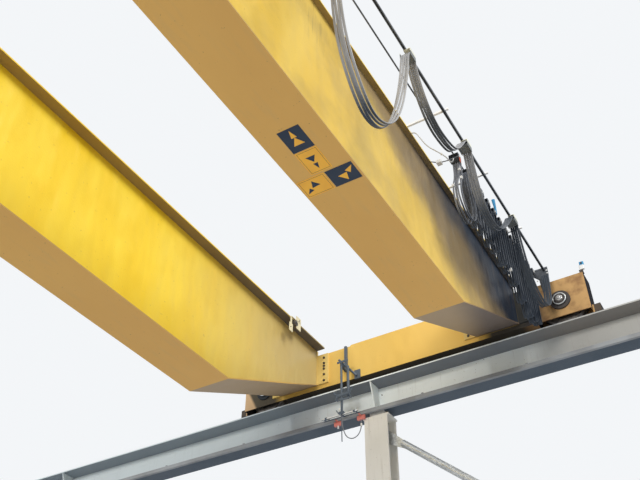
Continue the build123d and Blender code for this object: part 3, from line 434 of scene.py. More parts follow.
# Painted shadow of the bridge on the beams towards their right end.
made.layer((0.28, 0.255, 0.225), made.along(X, 4.9, 6.0), 0.72)
# Painted shade towards the beams' left end.
made.layer((0.3, 0.36, 0.4), made.along(X, 2.1, 1.2), 0.5)
# Painted shade, darkest under the beams' bottom flanges.
made.layer((0.065, 0.09, 0.12), made.times(made.facing(DOWN, 0.5, 0.95), made.along(Z, 7.29, 7.275)))
column_stone = steel_paint("column stone", (0.8, 0.78, 0.72), (0.72, 0.7, 0.63), (0.46, 0.42, 0.35))
stop_yellow = steel_paint("stop yellow", (0.8, 0.52, 0.05), (0.66, 0.43, 0.06), (0.28, 0.19, 0.1))
arm_white = steel_paint("arm white", (0.95, 0.95, 0.94), (0.88, 0.88, 0.86), (0.5, 0.46, 0.4), size=0.2)
drive_grey = steel_paint("drive grey", (0.2, 0.24, 0.27), (0.15, 0.17, 0.19), (0.08, 0.07, 0.06), size=0.2)
mast_grey = steel_paint("mast grey", (0.1, 0.128, 0.165), (0.07, 0.09, 0.12), (0.05, 0.05, 0.06), size=0.1)
hanger_dark = steel_paint(
    "hanger grey", (0.09, 0.1, 0.115), (0.06, 0.065, 0.075), (0.05, 0.05, 0.05), size=0.1
)
plate_cream = steel_paint("cream plate", (0.8, 0.74, 0.52), (0.7, 0.64, 0.44), (0.36, 0.3, 0.2), size=0.1)
saddle_cream = steel_paint("saddle cream", (0.82, 0.82, 0.7), (0.7, 0.7, 0.58), (0.34, 0.31, 0.23), size=0.1)
saddle_cream.layer((0.1, 0.115, 0.13), saddle_cream.along(Z, 8.505, 8.485), 0.9)

# %% [markdown]
# The crab's travel wheels and the hook are dark steel below the yellow of their nodes.

# %% Crab and hook paint
crab_finish = made = bridge_paint("crab yellow", *yellows)
made.layer((0.075, 0.065, 0.06), made.times(made.along(Z, 8.735, 8.73), made.along(X, 5.25, 5.2)))

hook_finish = made = bridge_paint("hook block paint", *yellows)
forged = made.along(Z, 4.9, 4.895)
made.layer((0.045, 0.043, 0.042), forged)
made.layer((0.13, 0.09, 0.06), made.times(made.blotches(0.05, 4.0, 0.35, 0.7), forged, 0.6))

# %% [markdown]
# Bare metals need a metallic shader. Hot-dip zinc shows its spangle, a crane rail is rust-brown
# with a bright running surface worn by the wheels, and a wheel's tread is worn bright as well.

# %% Bare metals
def metal(name, clean, stained, roughness, metallic, size, rough=None, detail=4.0, low=0.35, amount=1.0):
    made = Finish(name, clean, roughness, metallic)
    stain = made.blotches(size, detail, low, 0.7)
    made.layer(stained, stain, amount)
    if rough:
        made.rough(stain, *rough)
    return made


zinc = made = Finish("hot-dip zinc", (0.44, 0.46, 0.47), 0.42, metallic=0.75)
crystals = made.effect("spangle", Size=0.022)
made.layer((0.66, 0.68, 0.68), crystals)
made.layer((0.38, 0.37, 0.34), made.blotches(0.2, 4.0, 0.5, 0.75), 0.5)
made.rough(crystals, 0.34, 0.52)

rail_steel = made = metal("rail steel", (0.14, 0.12, 0.11), (0.22, 0.13, 0.08), 0.6, 0.5, 0.15, detail=5.0)
up = made.add("SeparateXYZ", {0: made.add("NewGeometry").outputs["Normal"]}).outputs["Z"]
worn = made.add("MapRange", {"Value": up, "From Min": 0.95, "From Max": 1.0}).outputs["Result"]
made.layer((0.52, 0.51, 0.5), worn, 0.8)
made.rough(worn, 0.68, 0.3)

track_steel = metal("track steel", (0.16, 0.175, 0.195), (0.075, 0.085, 0.1), 0.5, 0.4, 0.3, (0.42, 0.62))
wheel_iron = metal("wheel iron", (0.2, 0.19, 0.185), (0.1, 0.085, 0.075), 0.5, 0.7, 0.06, (0.35, 0.65), 5.0)
bright_steel = metal("bright steel", (0.68, 0.68, 0.68), (0.42, 0.4, 0.38), 0.3, 0.9, 0.03, (0.22, 0.45))
dark_bolt = metal("dark bolt", (0.05, 0.05, 0.055), (0.15, 0.12, 0.09), 0.45, 0.6, 0.02, detail=3.0, low=0.4)
rope_wire = metal(
    "greased rope", (0.22, 0.21, 0.2), (0.12, 0.11, 0.1), 0.42, 0.6, 0.05, detail=3.0, low=0.4, amount=0.5
)

# %% [markdown]
# The flat cables are a dark grey, paled by dust and painted light on the side towards the light and left in
# painted shade underneath and far along the girder, the conductor line is a dark plastic housing,
# and the collector's shoes are a faded red.

# %% Plastics
def moulded(name, clean, worn, roughness=0.5, size=0.08):
    made = Finish(name, clean, roughness)
    clouds = made.blotches(size, 4.0, 0.4, 0.72)
    made.layer(worn, clouds, 0.8)
    made.rough(clouds, roughness - 0.08, roughness + 0.12)
    made.bump((made.tooth(0.006), 0.0006))
    return made


def cable_sheath(name, dust_and_light, dark, start, end):
    """Dust and painted light pale the sheath on the side towards the light, the underside stays in painted
    shade, and past a place on the girder the paling fades into painted shade.
    """
    made = Finish(name, dark, 0.45)
    clouds = made.blotches(0.2, 4.0, 0.3, 0.75, stretch=(0.4, 1.0, 3.0))
    near = made.ramp(made.along(Y, start, end), 1.0, 0.0)
    # The mask looks towards the light, so the paled side is painted light and the rest painted shade.
    lit = made.times(made.facing((0.35, -0.25, 0.9), -0.75, -0.15), near, made.between(clouds, 1.0, 0.72))
    made.layer(dust_and_light, lit)
    made.rough(clouds, 0.38, 0.58)
    made.bump((made.tooth(0.006), 0.0006))
    return made


cable_grey = cable_sheath("lit dusty flat cable", (0.4, 0.405, 0.42), (0.045, 0.056, 0.072), 7.2, 9.6)
cable_dark = cable_sheath("shaded flat cable", (0.26, 0.275, 0.31), (0.04, 0.052, 0.072), 7.8, 9.4)
lead_white = moulded("white lead", (0.7, 0.7, 0.68), (0.52, 0.5, 0.46), 0.45)
lead_grey = moulded("grey lead", (0.22, 0.235, 0.26), (0.13, 0.14, 0.16))
conductor_dark = moulded("conductor housing", (0.3, 0.315, 0.33), (0.2, 0.205, 0.21), 0.55, size=0.4)
shoe_red = moulded("shoe red", (0.72, 0.23, 0.19), (0.56, 0.17, 0.14))
tag_red = moulded("red tag", (0.8, 0.14, 0.05), (0.6, 0.1, 0.05))
tie_blue = moulded("blue tie", (0.05, 0.3, 0.55), (0.03, 0.2, 0.4))
tie_white = moulded("white tie", (0.85, 0.85, 0.83), (0.7, 0.69, 0.66))
sign_dark = moulded("dark sign film", (0.024, 0.04, 0.07), (0.035, 0.05, 0.078), 0.4, size=0.2)
sign_orange = moulded("orange sign film", (1.0, 0.52, 0.06), (0.92, 0.46, 0.06), 0.4, size=0.2)
print("finishes:", len(bpy.data.materials))

# %% [markdown]
# Each node of the frame keeps its shape and takes one of these finishes. The table goes by the end
# of the node's name, without a number, and the last row that fits wins.

# %% Finish the frame's pieces
node_finishes = (
    (bridge_yellow, ""), (flange_yellow, "top_flange"), (plate_yellow, "end_plates"),
    (left_yellow, "left_webs"), (web_yellow, "right_webs"), (soffit_tan, "bottom_flange"),
    (truck_yellow, "truck_covers", "truck_inner_side", "truck_outer_side"), (column_stone, "_column"),
    (beam_grey, "runway_beam"), (stop_yellow, "_stop"), (zinc, "_brace"),
    (rail_steel, "_crane_rail", "_crab_rail"), (conductor_dark, "conductor_line"), (wheel_iron, "_wheel"),
    (drive_grey, "travel_drive", "hoist_machinery"), (rope_wire, "hoist_drum", "hoist_ropes"),
    (hook_finish, "hook_block"), (crab_finish, "crab_carriages"), (mast_grey, "collector_mast"),
    (track_steel, "festoon_track", "festoon_inner_track"), (arm_white, "festoon_arms"),
    (hanger_dark, "festoon_end_bracket", "festoon_hangers"), (saddle_cream, "festoon_trolleys"),
    (shoe_red, "collector_shoes"),
)
for name, piece in nodes.items():
    stem = name.rstrip("_1234")
    chosen = [made for made, *endings in node_finishes if stem.endswith(tuple(endings))][-1]
    piece.data.materials.clear()
    piece.data.materials.append(chosen.material)
print("finished nodes:", len(nodes))

# %% [markdown]
# New pieces are built as a bmesh and handed to `piece_from`, which makes the object, gives it its
# finishes and lets it ride on its body. Small parts that repeat, such as bolts and clips, are added
# to one bmesh by the helpers that follow, so a whole row of them is one piece.

# %% Helpers for new pieces
def piece_from(shape, name, body, slot, *finishes, replaces=()):
    data = bpy.data.meshes.new(name)
    shape.to_mesh(data)
    shape.free()
    made = bpy.data.objects.new(name, data)
    scene.collection.objects.link(made)
    for each in finishes:
        data.materials.append(each.material)
    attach(made, body)
    if replaces:
        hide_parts(*replaces)
    print(name, len(data.polygons), "faces")
    return made


def towards(axis):
    return Vector(axis).to_track_quat("Z", "Y").to_matrix().to_4x4()


def give_finish(made, index):
    for face in {f for v in made["verts"] for f in v.link_faces}:
        face.material_index = index


def bevel_edges(shape, edges, width, steps):
    bmesh.ops.bevel(
        shape, geom=list(edges), offset=width, affect="EDGES", segments=steps, profile=0.5, material=-1
    )


def add_bar(shape, low, high, bevel=0.0, index=0):
    """A bar between two corners, with its edges bevelled."""
    size = [b - a for a, b in zip(low, high)]
    middle = Matrix.Translation([(a + b) / 2 for a, b in zip(low, high)])
    made = bmesh.ops.create_cube(shape, size=1.0, matrix=middle @ Matrix.Diagonal((*size, 1)))
    give_finish(made, index)
    if bevel:
        # A dictionary keeps the edges in order, where a set would mix them in every run.
        bevel_edges(shape, dict.fromkeys(e for v in made["verts"] for e in v.link_edges), bevel, 2)


def add_rod(shape, start, end, radius, segments=16, top=None, index=0):
    """A rod from one point to another, or a cone where its top radius differs."""
    start, end = Vector(start), Vector(end)
    made = bmesh.ops.create_cone(
        shape, cap_ends=True, segments=segments, radius1=radius, radius2=radius if top is None else top,
        depth=(end - start).length, matrix=Matrix.Translation((start + end) / 2) @ towards(end - start),
    )
    give_finish(made, index)


def add_bolt(shape, place, axis, size, index=0):
    """A hexagon head on a washer, standing on a surface at place and looking along axis."""
    place, axis = Vector(place), Vector(axis).normalized()
    washer_top, head_top = place + 0.16 * size * axis, place + 0.8 * size * axis
    add_rod(shape, place, washer_top, 1.05 * size, 12, index=index)
    add_rod(shape, washer_top, head_top, 0.9 * size, 6, index=index)


# %% [markdown]
# Power and control reach the crab through flat cables. A cable's route is one NURBS spline through
# the same control points as the solid in the frame, so it hangs in smooth loops. `route_points`
# makes that spline as a curve without a bevel and reads points from it. `add_strand` lays a flat
# strip with rounded edges along them, and `flat_bundle` makes a bundle of such strips side by side.
# Between two saddles each strip swings a little its own way, so the bundle fans out where it hangs
# free. Its noise depends on a seed, which is set here so that every run gives the same strips.

# %% Helpers for cables
noise.seed_set(3)


def spline_object(name, points, steps):
    data = bpy.data.curves.new(name, "CURVE")
    data.dimensions = "3D"
    spline = data.splines.new("NURBS")
    spline.points.add(len(points) - 1)
    for point, place in zip(spline.points, points):
        point.co = (*place, 1)
    spline.order_u = 3
    spline.use_endpoint_u = True
    spline.resolution_u = steps
    return bpy.data.objects.new(name, data)


def route_points(points, steps):
    line = spline_object("route", points, steps)
    data = bpy.data.meshes.new_from_object(line)
    places = [v.co.copy() for v in data.vertices]
    bpy.data.objects.remove(line)
    bpy.data.meshes.remove(data)
    return places


def festoon_route(x, stations, turn, over, end_drop, loop_at):
    """A route that hangs in a loop between stations, and goes over each saddle with two points."""
    route = [(x, stations[0] - turn, over - end_drop)]
    for number, (here, following) in enumerate(zip(stations, stations[1:])):
        left, right = here - turn, following + turn
        route += [(x, left - across, over + down) for across, down in loop_at(number, left - right)]
        if following != stations[-1]:
            route += [(x, right, over), (x, following - turn, over)]
    return route + [(x, stations[-1] + turn, over - end_drop)]


def length_of(points):
    return sum((b - a).length for a, b in zip(points, points[1:]))


def add_strand(shape, points, shift, swing, width, thickness):
    """A flat strip along the points, beside them by shift. Low down it strays by up to swing."""
    edge = thickness / 2
    half = width / 2 - edge
    profile = [(half + edge * cos(a), edge * sin(a)) for a in (-pi / 3, 0, pi / 3)]
    profile += [(-x, -z) for x, z in profile]
    top, bottom = max(p.z for p in points), min(p.z for p in points)
    across = Vector(X)
    before = None
    for i, point in enumerate(points):
        ahead = (points[min(i + 1, len(points) - 1)] - points[max(i - 1, 0)]).normalized()
        out = across.cross(ahead).normalized()
        low = min(1.0, 1.6 * (top - point.z) / (top - bottom))
        stray = noise.noise_vector(Vector((200 * shift, 1.7 * point.y, 1.1 * point.z)))
        middle = point + Vector((shift, 0, 0)) + low * Vector([a * b for a, b in zip(swing, stray)])
        ring = [shape.verts.new(middle + x * across + z * out) for x, z in profile]
        if before:
            for a in range(len(ring)):
                b = (a + 1) % len(ring)
                shape.faces.new((before[a], before[b], ring[b], ring[a]))
        else:
            shape.faces.new(list(reversed(ring)))
        before = ring
    shape.faces.new(before)


def flat_bundle(name, points, strands, sway, width, thickness, finish_used, node):
    """Strands side by side along the points, each with its shift and its swing."""
    bundle = bmesh.new()
    for shift, swing in strands:
        add_strand(bundle, points, shift, (sway, swing, swing), width, thickness)
    made = piece_from(bundle, name, "bridge", "flat_cable", finish_used, replaces=[node])
    print(name, round(length_of(points), 3), "m")


# %% [markdown]
# The drawn bundle hangs in loops from trolley to trolley, from the clamp at the girder's end to the
# crab's side. The first loops are shallow, because the trolleys there are pulled apart, and the
# rest hang deep. The route goes up to each trolley's saddle, over it with two points at the top,
# and down again. All places are in metres from the origin.

# %% Drawn cables
track_x, inner_x = 5.763, 5.587
saddle_turn, drawn_over, clamp_drop = 0.068, 8.514, 0.06
clamp_y, tow_y = 10.9, -1.3
trolleys = [9.67, 8.19, 6.73, 5.1, 3.5, 1.9, 0.3]
stations = [clamp_y + saddle_turn] + trolleys + [tow_y - saddle_turn]
close_loops = [
    [(0.04, -0.3), (0.14, -0.62), (0.38, -0.84), (0.74, -0.86), (1.0, -0.66), (1.12, -0.3)],
    [(0.08, -0.12), (0.36, -0.46), (0.66, -0.74), (0.98, -0.82), (1.2, -0.64), (1.31, -0.28)],
    [(0.1, -0.16), (0.36, -0.5), (0.62, -0.6), (0.9, -0.61), (1.12, -0.46), (1.28, -0.2)],
]
long_loop = [
    (0.08, -0.5), (0.29, -1.2), (0.56, -1.74), (0.88, -1.94), (1.14, -1.74), (1.37, -1.3),
    (1.46, -0.6),
]
long_span = 1.494


def drawn_loop(number, span):
    if number < len(close_loops):
        return close_loops[number]
    return [(across * span / long_span, down) for across, down in long_loop]


drawn_route = festoon_route(track_x, stations, saddle_turn, drawn_over, clamp_drop, drawn_loop)
flat_bundle(
    "drawn_cables", route_points(drawn_route, 10),
    ((-0.0395, 0.014), (-0.013, 0.026), (0.0135, 0.026), (0.04, 0.014)),
    0.01, 0.0255, 0.011, cable_grey, "festoon_drawn_cable",
)

# %% [markdown]
# The second bundle serves the part of the bridge that needs no long reach, so it hangs gathered in
# narrow loops under the inner track. The loops were pushed together by hand once, so no two hang
# equally low, and the last one stands wide open.

# %% Gathered cables
hangers = [10.82 - 0.2 * i for i in range(12)] + [8.32]
hanger_turn, gathered_over, end_drop = 0.048, 8.52, 0.01
narrow_loop = [
    (0.012, -0.33), (-0.004, -0.56), (-0.002, -0.69), (0.006, -0.762), (0.032, -0.793),
    (0.072, -0.793), (0.098, -0.762), (0.106, -0.69), (0.108, -0.56), (0.092, -0.33),
]
open_loop = [
    (0.03, -0.25), (-0.06, -0.52), (-0.06, -0.76), (0.12, -0.9), (0.32, -0.78),
    (0.34, -0.52), (0.2, -0.25),
]
extras = (0.13, 0.21, 0.255, 0.145, 0.015, -0.055, -0.025, -0.08, -0.04, -0.07, -0.045)


def gathered_loop(number, span):
    if number >= len(extras):
        return open_loop
    return [(across, down - extras[number] / (1 if down < -0.5 else 2)) for across, down in narrow_loop]


gathered_route = festoon_route(inner_x, hangers, hanger_turn, gathered_over, end_drop, gathered_loop)
gathered_points = route_points(gathered_route, 8)
flat_bundle(
    "gathered_cables", gathered_points,
    ((-0.044, 0.03), (-0.022, 0.06), (0.0, 0.07), (0.022, 0.06), (0.044, 0.03)),
    0.012, 0.021, 0.01, cable_dark, "festoon_gathered_cable",
)

# %% [markdown]
# Two round leads are thin enough to be bevelled curves. One feeds the gathered cables from the
# girder's flange, and the other goes from a collector shoe to the mast's pipe.

# %% Round leads
lead_diameter, lead_steps = 0.014, 12


def lead(name, points, node, finish_used):
    made = spline_object(name, points, lead_steps)
    made.data.bevel_depth = lead_diameter / 2
    made.data.bevel_resolution = 4
    made.data.use_fill_caps = True
    made.data.materials.append(finish_used.material)
    scene.collection.objects.link(made)
    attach(made, "bridge")
    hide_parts(node)
    measured = length_of(route_points(points, lead_steps))
    print(name, round(measured, 3), "m")


flange_edge, bracket_y, girder_top = 5.31, 10.92, 8.565
feed_route = [
    (flange_edge + x, bracket_y + y, girder_top + z)
    for x, y, z in (
        (0, -3.17, -0.012), (0.05, -3.17, -0.012), (0.1, -3.145, -0.145), (0.15, -3.11, -0.255),
        (0.22, -3.03, -0.297), (0.277, -2.92, -0.308), (0.277, -2.79, -0.28),
        (0.277, -2.69, -0.2), (0.277, -2.648, -0.103),
    )
]
lead("feed_cable", feed_route, "feed_lead", lead_white)

mast_x, mast_y, mast_bottom, conductor_bottom = 2.56, 10.93, 7.225, 7.24
shoe_x, shoe_y, shoe_bottom = 2.79, 11.0775, 7.172
collector_route = [(shoe_x, shoe_y, shoe_bottom), (shoe_x, shoe_y, conductor_bottom - 0.15)]
collector_route += [
    (mast_x + x, mast_y + y, conductor_bottom + z)
    for x, y, z in (
        (0.228, 0.12, -0.25), (0.19, 0.1, -0.33), (0.12, 0.07, -0.372), (0.05, 0.04, -0.34),
        (0.015, 0.02, -0.25), (0, 0, -0.13),
    )
]
collector_route.append((mast_x, mast_y, mast_bottom))
lead("collector_cable", collector_route, "collector_lead", lead_grey)

# %% [markdown]
# Four square plates under the right girder show which way the pendant's buttons move the crane.
# Each has two arrowheads, and the orange ones have a thin dark frame. A row gives a plate's two
# corners, its film and the way it points, and then each arrowhead's tip, length and half width.

# %% Direction plates
plate_low, plate_high, arrow_low, arrow_thickness = 6.948, 6.9502, 6.9472, 0.0012
inset, line = 0.012, 0.003
dark, orange = 0, 1


def add_arrow(shape, tip, way, length, half, index):
    way = Vector((*way, 0)).normalized()
    middle = Vector((*tip, arrow_low + arrow_thickness / 2)) - way * length * 2 / 3
    frame_at = Matrix.Translation(middle) @ Matrix.Rotation(atan2(-way.x, way.y), 4, "Z")
    made = bmesh.ops.create_cone(
        shape, cap_ends=True, segments=3, radius1=1, radius2=1, depth=arrow_thickness,
        matrix=frame_at @ Matrix.Diagonal((half / 0.866, length / 1.5, 1, 1)),
    )
    give_finish(made, index)


plates = bmesh.new()
for low, high, base, way, *arrows in (
    ((4.836, 5.796), (5.058, 6.08), dark, (0, -1),
     ((4.946, 5.82), 0.093, 0.028), ((4.947, 5.913), 0.091, 0.056)),
    ((4.837, 6.09), (5.061, 6.386), orange, (0, 1),
     ((4.948, 6.252), 0.076, 0.049), ((4.949, 6.344), 0.074, 0.024)),
    ((4.657, 6.41), (4.944, 6.64), orange, (-0.79, 0.61),
     ((4.759, 6.536), 0.077, 0.0475), ((4.684, 6.593), 0.0755, 0.0246)),
    ((4.957, 6.412), (5.235, 6.638), dark, (0.76, -0.65),
     ((5.136, 6.512), 0.08, 0.054), ((5.218, 6.452), 0.09, 0.03)),
):
    add_bar(plates, (*low, plate_low), (*high, plate_high), 0.0006, base)
    if base == orange:
        x0, y0, x1, y1 = low[0] + inset, low[1] + inset, high[0] - inset, high[1] - inset
        for a, b in (
            ((x0, y0), (x1, y0 + line)), ((x0, y1 - line), (x1, y1)),
            ((x0, y0), (x0 + line, y1)), ((x1 - line, y0), (x1, y1)),
        ):
            add_bar(plates, (*a, plate_low - 0.0004), (*b, plate_low + 0.0004), 0, dark)
    for tip, length, half in arrows:
        add_arrow(plates, tip, way, length, half, 1 - base)
piece_from(plates, "direction_plates", "bridge", "conductor_cover", sign_dark, sign_orange)

# %% [markdown]
# The girders are bolted to the end trucks through the wings of their end plates.

# %% End plate bolts
girder_places, wing_place, wing_face = (1.75, 4.95), 0.43, 11.07
wing_bolts = bmesh.new()
for side in (-1, 1):
    for middle in girder_places:
        for x in (middle - wing_place, middle + wing_place):
            for z in (8.385, 8.29, 8.24, 8.19, 8.095, 7.99):
                add_bolt(wing_bolts, (x, side * wing_face, z), (0, -side, 0), 0.019)
piece_from(wing_bolts, "end_plate_bolts", "bridge", "bridge_paint", dark_bolt)

# %% [markdown]
# The wheels turn in bearings behind round covers on both faces of each truck. A cover is a spun
# ring with a bolt circle. The shaft's bright hexagon nut stands proud of it and rides on the wheel.

# %% Bearings
def add_turned(shape, centre, axis, profile, segments=40):
    """A turned form: a profile of (radius, height) pairs spun about an axis through centre."""
    frame_at = Matrix.Translation(centre) @ towards(axis)
    points = [shape.verts.new(frame_at @ Vector((r, 0, h))) for r, h in profile]
    edges = [shape.edges.new(pair) for pair in zip(points, points[1:])]
    before = set(shape.faces)
    bmesh.ops.spin(
        shape, geom=points + edges, cent=Vector(centre), axis=Vector(axis).normalized(), angle=2 * pi,
        steps=segments, use_merge=True,
    )
    made = dict.fromkeys(v for f in shape.faces if f not in before for v in f.verts)
    bmesh.ops.remove_doubles(shape, verts=list(made), dist=1e-5)


wheel_places, wheel_height = (1.09, 5.85), 8.1233
inner_side, outer_side = 11.048, 11.45
cover_ring = [
    (0.078, -0.004), (0.078, 0.004), (0.081, 0.007), (0.089, 0.007), (0.093, 0.002), (0.093, -0.004)
]
bolt_circle = 0.067
covers = bmesh.new()
for side in (-1, 1):
    for x in wheel_places:
        for face_y, out in ((side * inner_side, -side), (side * outer_side, side)):
            centre = Vector((x, face_y, wheel_height))
            add_turned(covers, centre, (0, out, 0), cover_ring)
            for turn in range(6):
                angle = pi / 6 + turn * pi / 3
                place = centre + bolt_circle * Vector((cos(angle), 0, sin(angle)))
                add_bolt(covers, place, (0, out, 0), 0.0075, 1)
piece_from(covers, "bearing_covers", "bridge", "bridge_paint", zinc, dark_bolt)

for end, side in (("near", -1), ("far", 1)):
    for hand, x in zip(("left", "right"), wheel_places):
        nuts = bmesh.new()
        for face_y, out in ((side * 11.04, -side), (side * 11.46, side)):
            centre, outwards = Vector((x, face_y, wheel_height)), Vector((0, out, 0))
            add_rod(nuts, centre - 0.004 * outwards, centre + 0.016 * outwards, 0.047, 6)
            add_rod(nuts, centre, centre + 0.024 * outwards, 0.022)
        bevel_edges(nuts, nuts.edges, 0.0012, 1)
        body = f"{end}_{hand}_wheel"
        piece_from(nuts, body + "_nuts", body, "wheel_steel", bright_steel)

# %% [markdown]
# The collector's mast is two pipes held by flat clamps, with a strut up to a plate on the truck.
# A thin tail ends the mast, and pale connectors sit on the shoes. The rod that carries the shoes is
# bright where they slide on it.

# %% Collector fittings
fittings = bmesh.new()
pipe_x, pipe_y = 2.663, 10.945
shoe_rod_z, left_shoe_x = 7.247, 2.415
add_rod(fittings, (pipe_x, pipe_y, 8.02), (pipe_x, pipe_y, 7.53), 0.021, 20)
add_rod(fittings, (2.523, 10.925, 8.16), (2.74, 11.06, 7.9), 0.017)
add_bar(fittings, (2.69, 11.084, 7.86), (2.79, 11.1, 8.01), 0.003)
for low, high in (
    ((2.47, 10.906, 7.535), (2.722, 10.914, 7.575)), ((2.498, 10.898, 7.45), (2.7, 10.906, 7.482)),
    ((2.505, 10.9, 8.08), (2.69, 10.91, 8.115)), ((2.52, 10.902, 7.245), (2.6, 10.958, 7.285)),
):
    add_bar(fittings, low, high, 0.002)
for start, end in (
    ((2.472, 10.902, 7.562), (2.44, 10.902, 7.622)), ((2.5, 10.902, 7.555), (2.476, 10.902, 7.47)),
    ((2.72, 10.902, 7.56), (2.752, 10.902, 7.612)), ((2.7, 10.902, 7.545), (2.728, 10.902, 7.452)),
    ((2.552, 10.93, 7.235), (2.556, 10.93, 6.83)), ((2.512, 10.93, 7.262), (2.47, 10.93, 7.33)),
):
    add_rod(fittings, start, end, 0.007, 10)
for x in (2.49, 2.7):
    add_bolt(fittings, (x, 10.906, 7.555), (0, -1, 0), 0.01)
add_rod(fittings, (2.236, mast_y, shoe_rod_z), (2.818, mast_y, shoe_rod_z), 0.011, index=1)
for x in (2.3, 2.76):
    add_rod(fittings, (x - 0.014, mast_y, shoe_rod_z), (x + 0.014, mast_y, shoe_rod_z), 0.019)
add_rod(fittings, (shoe_x, shoe_y, 7.112), (shoe_x, shoe_y, 7.066), 0.0135, index=1)
add_rod(fittings, (left_shoe_x, shoe_y, shoe_bottom), (left_shoe_x, shoe_y, 7.132), 0.012, index=1)
add_bar(fittings, (2.528, 10.894, 7.3), (2.548, 10.906, 7.335), 0.002, 1)
piece_from(fittings, "collector_fittings", "bridge", "galvanised", mast_grey, tie_white)

# %% [markdown]
# Two small things are fastened to the bridge: a striker bracket that clamps round the left
# girder's flange, with a dark roller between two cream plates, and a limit switch with a blue head
# on the corner of the truck.

# %% Striker bracket and limit switch
bracket = bmesh.new()
roller_y, roller_z = 10.182, 8.48
for low, high in (
    ((2.196, 10.048, 8.305), (2.206, 10.136, 8.442)), ((2.186, 10.09, 8.43), (2.196, 10.126, 8.566)),
    ((2.196, 10.226, 8.436), (2.206, 10.35, 8.65)), ((2.15, 10.1, 8.5655), (2.206, 10.35, 8.5775)),
):
    add_bar(bracket, low, high, 0.002)
add_rod(bracket, (2.196, roller_y, roller_z), (2.236, roller_y, roller_z), 0.044, 28, index=1)
add_rod(bracket, (2.236, roller_y, roller_z), (2.244, roller_y, roller_z), 0.016, index=1)
add_bar(bracket, (2.188, roller_y - 0.014, roller_z), (2.196, roller_y + 0.014, 8.566), 0.001, 1)
for y, z in ((10.08, 8.37), (10.3, 8.6)):
    add_bolt(bracket, (2.206, y, z), X, 0.009, 1)
piece_from(bracket, "striker_bracket", "bridge", "bridge_paint", plate_cream, dark_bolt)

switch = bmesh.new()
for low, high, bevel, index in (
    ((6.18, 11.112, 8.465), (6.236, 11.16, 8.473), 0.001, 2),
    ((6.18, 11.116, 8.47), (6.236, 11.122, 8.52), 0.001, 2),
    ((6.196, 11.084, 8.5), (6.262, 11.118, 8.572), 0.006, 0),
    ((6.206, 11.086, 8.57), (6.266, 11.116, 8.628), 0.007, 1),
):
    add_bar(switch, low, high, bevel, index)
add_rod(switch, (6.236, 11.086, 8.598), (6.236, 11.07, 8.598), 0.012, index=2)
add_rod(switch, (6.229, 11.1, 8.502), (6.229, 11.1, 8.48), 0.01, index=2)
piece_from(switch, "limit_switch", "bridge", "drive_paint", tie_white, tie_blue, dark_bolt)

# %% [markdown]
# Small pale and coloured things brighten the dark festoon: pads on both cheeks of each hanger,
# clips on single cables, a tag, a blue tie at the second trolley, and a junction on a short lead
# from the girder's flange. `add_clip` puts a clip at the point of a route that lies nearest.

# %% Festoon trims
def add_clip(shape, points, y, z, shift, size, bevel):
    place = min(points, key=lambda p: (p.y - y) ** 2 + (p.z - z) ** 2) + Vector((shift, 0, 0))
    add_bar(shape, place - Vector(size), place + Vector(size), bevel)


trims = bmesh.new()
for y in hangers:
    for low, high in ((5.6445, 5.656), (5.518, 5.5295)):
        add_bar(trims, (low, y - 0.014, 8.49), (high, y + 0.014, 8.518), 0.003)
for y, z, shift in ((8.21, 8.22, 0.044), (8.235, 8.36, 0.022), (9.663, 7.702, 0.044), (8.322, 8.003, -0.044)):
    add_clip(trims, gathered_points, y, z, shift, (0.016, 0.013, 0.02), 0.004)
add_clip(trims, route_points(feed_route, lead_steps), 7.95, 8.262, 0, (0.011, 0.012, 0.011), 0.003)
for x, y, z in ((5.8, 10.9075, 8.529), (5.8, 10.9075, 8.48), (5.65, 10.9075, 8.394)):
    add_bolt(trims, (x, y, z), (0, -1, 0), 0.01)
add_bar(trims, (5.38, 8.24, 8.466), (5.44, 8.304, 8.512), 0.004)
add_bar(trims, (5.646, 8.3, 8.42), (5.65, 8.34, 8.485), 0.001, 1)
tie_middle, junction = (5.65, 9.44, 8.59), (5.41, 8.272, 8.488)
for start, end, radius, top, index in (
    ((5.65, 9.41, 8.7), tie_middle, 0.022, 0.015, 2), (tie_middle, (5.65, 9.469, 8.488), 0.015, 0.004, 2),
    ((5.596, 9.425, 8.556), tie_middle, 0.005, 0.005, 3), ((5.3, 8.262, 8.552), junction, 0.006, 0.006, 3),
    (junction, (5.545, 8.31, 8.5), 0.006, 0.006, 3),
):
    add_rod(trims, start, end, radius, 10, top, index)
piece_from(trims, "festoon_trims", "bridge", "saddle_paint", tie_white, tag_red, tie_blue, dark_bolt)

# %% [markdown]
# The crane rails are held by clips with a bolt every 0.75 m on both sides. The columns' cap plates
# are bolted from above. Two holes and a dab of marking paint on the far beam show in the photograph.

# %% Runway fittings
rail_y, clip_low, clip_high, cap_top = 11.25, 7.7005, 7.7205, 7.195
clips = bmesh.new()
for side in (-1, 1):
    for number in range(25):
        x = -9.0 + 0.75 * number
        for way in (-1, 1):
            y = side * rail_y + way * 0.083
            add_bar(clips, (x - 0.04, y - 0.028, clip_low), (x + 0.04, y + 0.028, clip_high), 0.003)
            add_bolt(clips, (x, y + way * 0.008, clip_high), Z, 0.015)
piece_from(clips, "rail_clips", "runway", "rail_steel", dark_bolt)

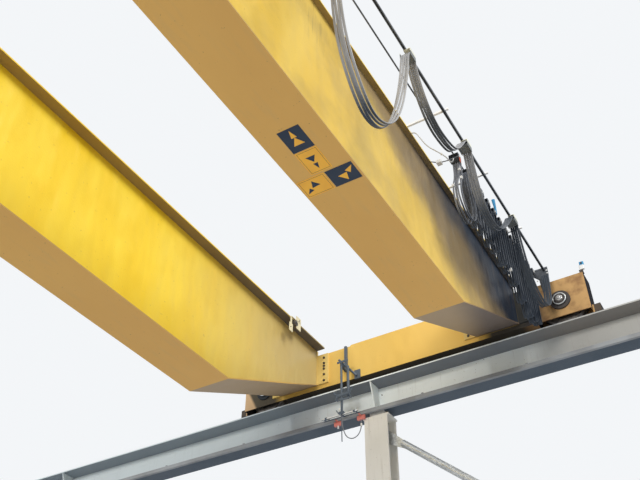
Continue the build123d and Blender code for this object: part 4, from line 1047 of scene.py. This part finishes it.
cap_bolts = bmesh.new()
for side in (-1, 1):
    for x in (-9, -3, 3, 9):
        for across in (-0.145, 0.145):
            for beside in (-0.095, 0.095):
                add_bolt(cap_bolts, (x + across, side * rail_y + beside, cap_top), Z, 0.014)
for x, z in ((3.054, 7.568), (3.33, 7.4)):
    add_rod(cap_bolts, (x, 11.2455, z), (x, 11.242, z), 0.009, 20)
add_bar(cap_bolts, (3.668, 11.099, 7.2725), (3.772, 11.1005, 7.2895), 0.0003, 1)
piece_from(cap_bolts, "column_head_bolts", "runway", "beam_paint", dark_bolt, stop_yellow)

# %% [markdown]
# Electric motors shed their heat through thin fins round the casing. The two travel motors and the
# hoist motor each get a row of them, and the gear cases their bolts.

# %% Motor fins
fins = bmesh.new()


def add_fins(y, z, first, pitch, count, thickness, radius, segments):
    for number in range(count):
        x = first + pitch * number
        add_rod(fins, (x, y, z), (x + thickness, y, z), radius, segments)


for side in (-1, 1):
    add_fins(side * 11.553, 8.0633, 5.296, 0.028, 13, 0.006, 0.113, 40)
    for x, z in ((5.77, 7.965), (5.93, 7.965), (5.77, 8.2), (5.93, 8.2)):
        add_bolt(fins, (x, side * 11.638, z), (0, side, 0), 0.011)
add_fins(-2.94, 9.415, 3.2, 0.03, 19, 0.008, 0.18, 48)
for y in (-3.02, -2.78, -2.5, -2.22):
    for z in (9.205, 9.63):
        add_bolt(fins, (4.18, y, z), X, 0.013)
piece_from(fins, "motor_fins", "bridge", "drive_paint", drive_grey)

# %% [markdown]
# The drum carries its rope in one layer. A small circle is spun round the drum's axis with a step
# along it, so it makes one long helix from flange to flange.

# %% Rope on the drum
drum_y, drum_z, drum_first, wound_radius = -2.459, 9.46, 2.345, 0.2585
rope, sides, turns, wound_length = 0.009, 8, 70, 1.37
wound = bmesh.new()
start = Matrix.Translation((drum_first, drum_y, drum_z + wound_radius)) @ Matrix.Rotation(pi / 2, 4, "X")
ring = bmesh.ops.create_circle(wound, segments=sides, radius=rope, matrix=start)
steps = 20 * turns
bmesh.ops.spin(
    wound, geom=ring["verts"] + list(wound.edges), cent=(0, drum_y, drum_z), axis=X,
    angle=2 * pi * turns, steps=steps, dvec=(wound_length / steps, 0, 0), use_merge=False,
)
bmesh.ops.holes_fill(wound, edges=[e for e in wound.edges if e.is_boundary], sides=sides)
bmesh.ops.recalc_face_normals(wound, faces=wound.faces)
for face in wound.faces:
    face.smooth = True
piece_from(wound, "drum_rope", "bridge", "rope_steel", rope_wire)
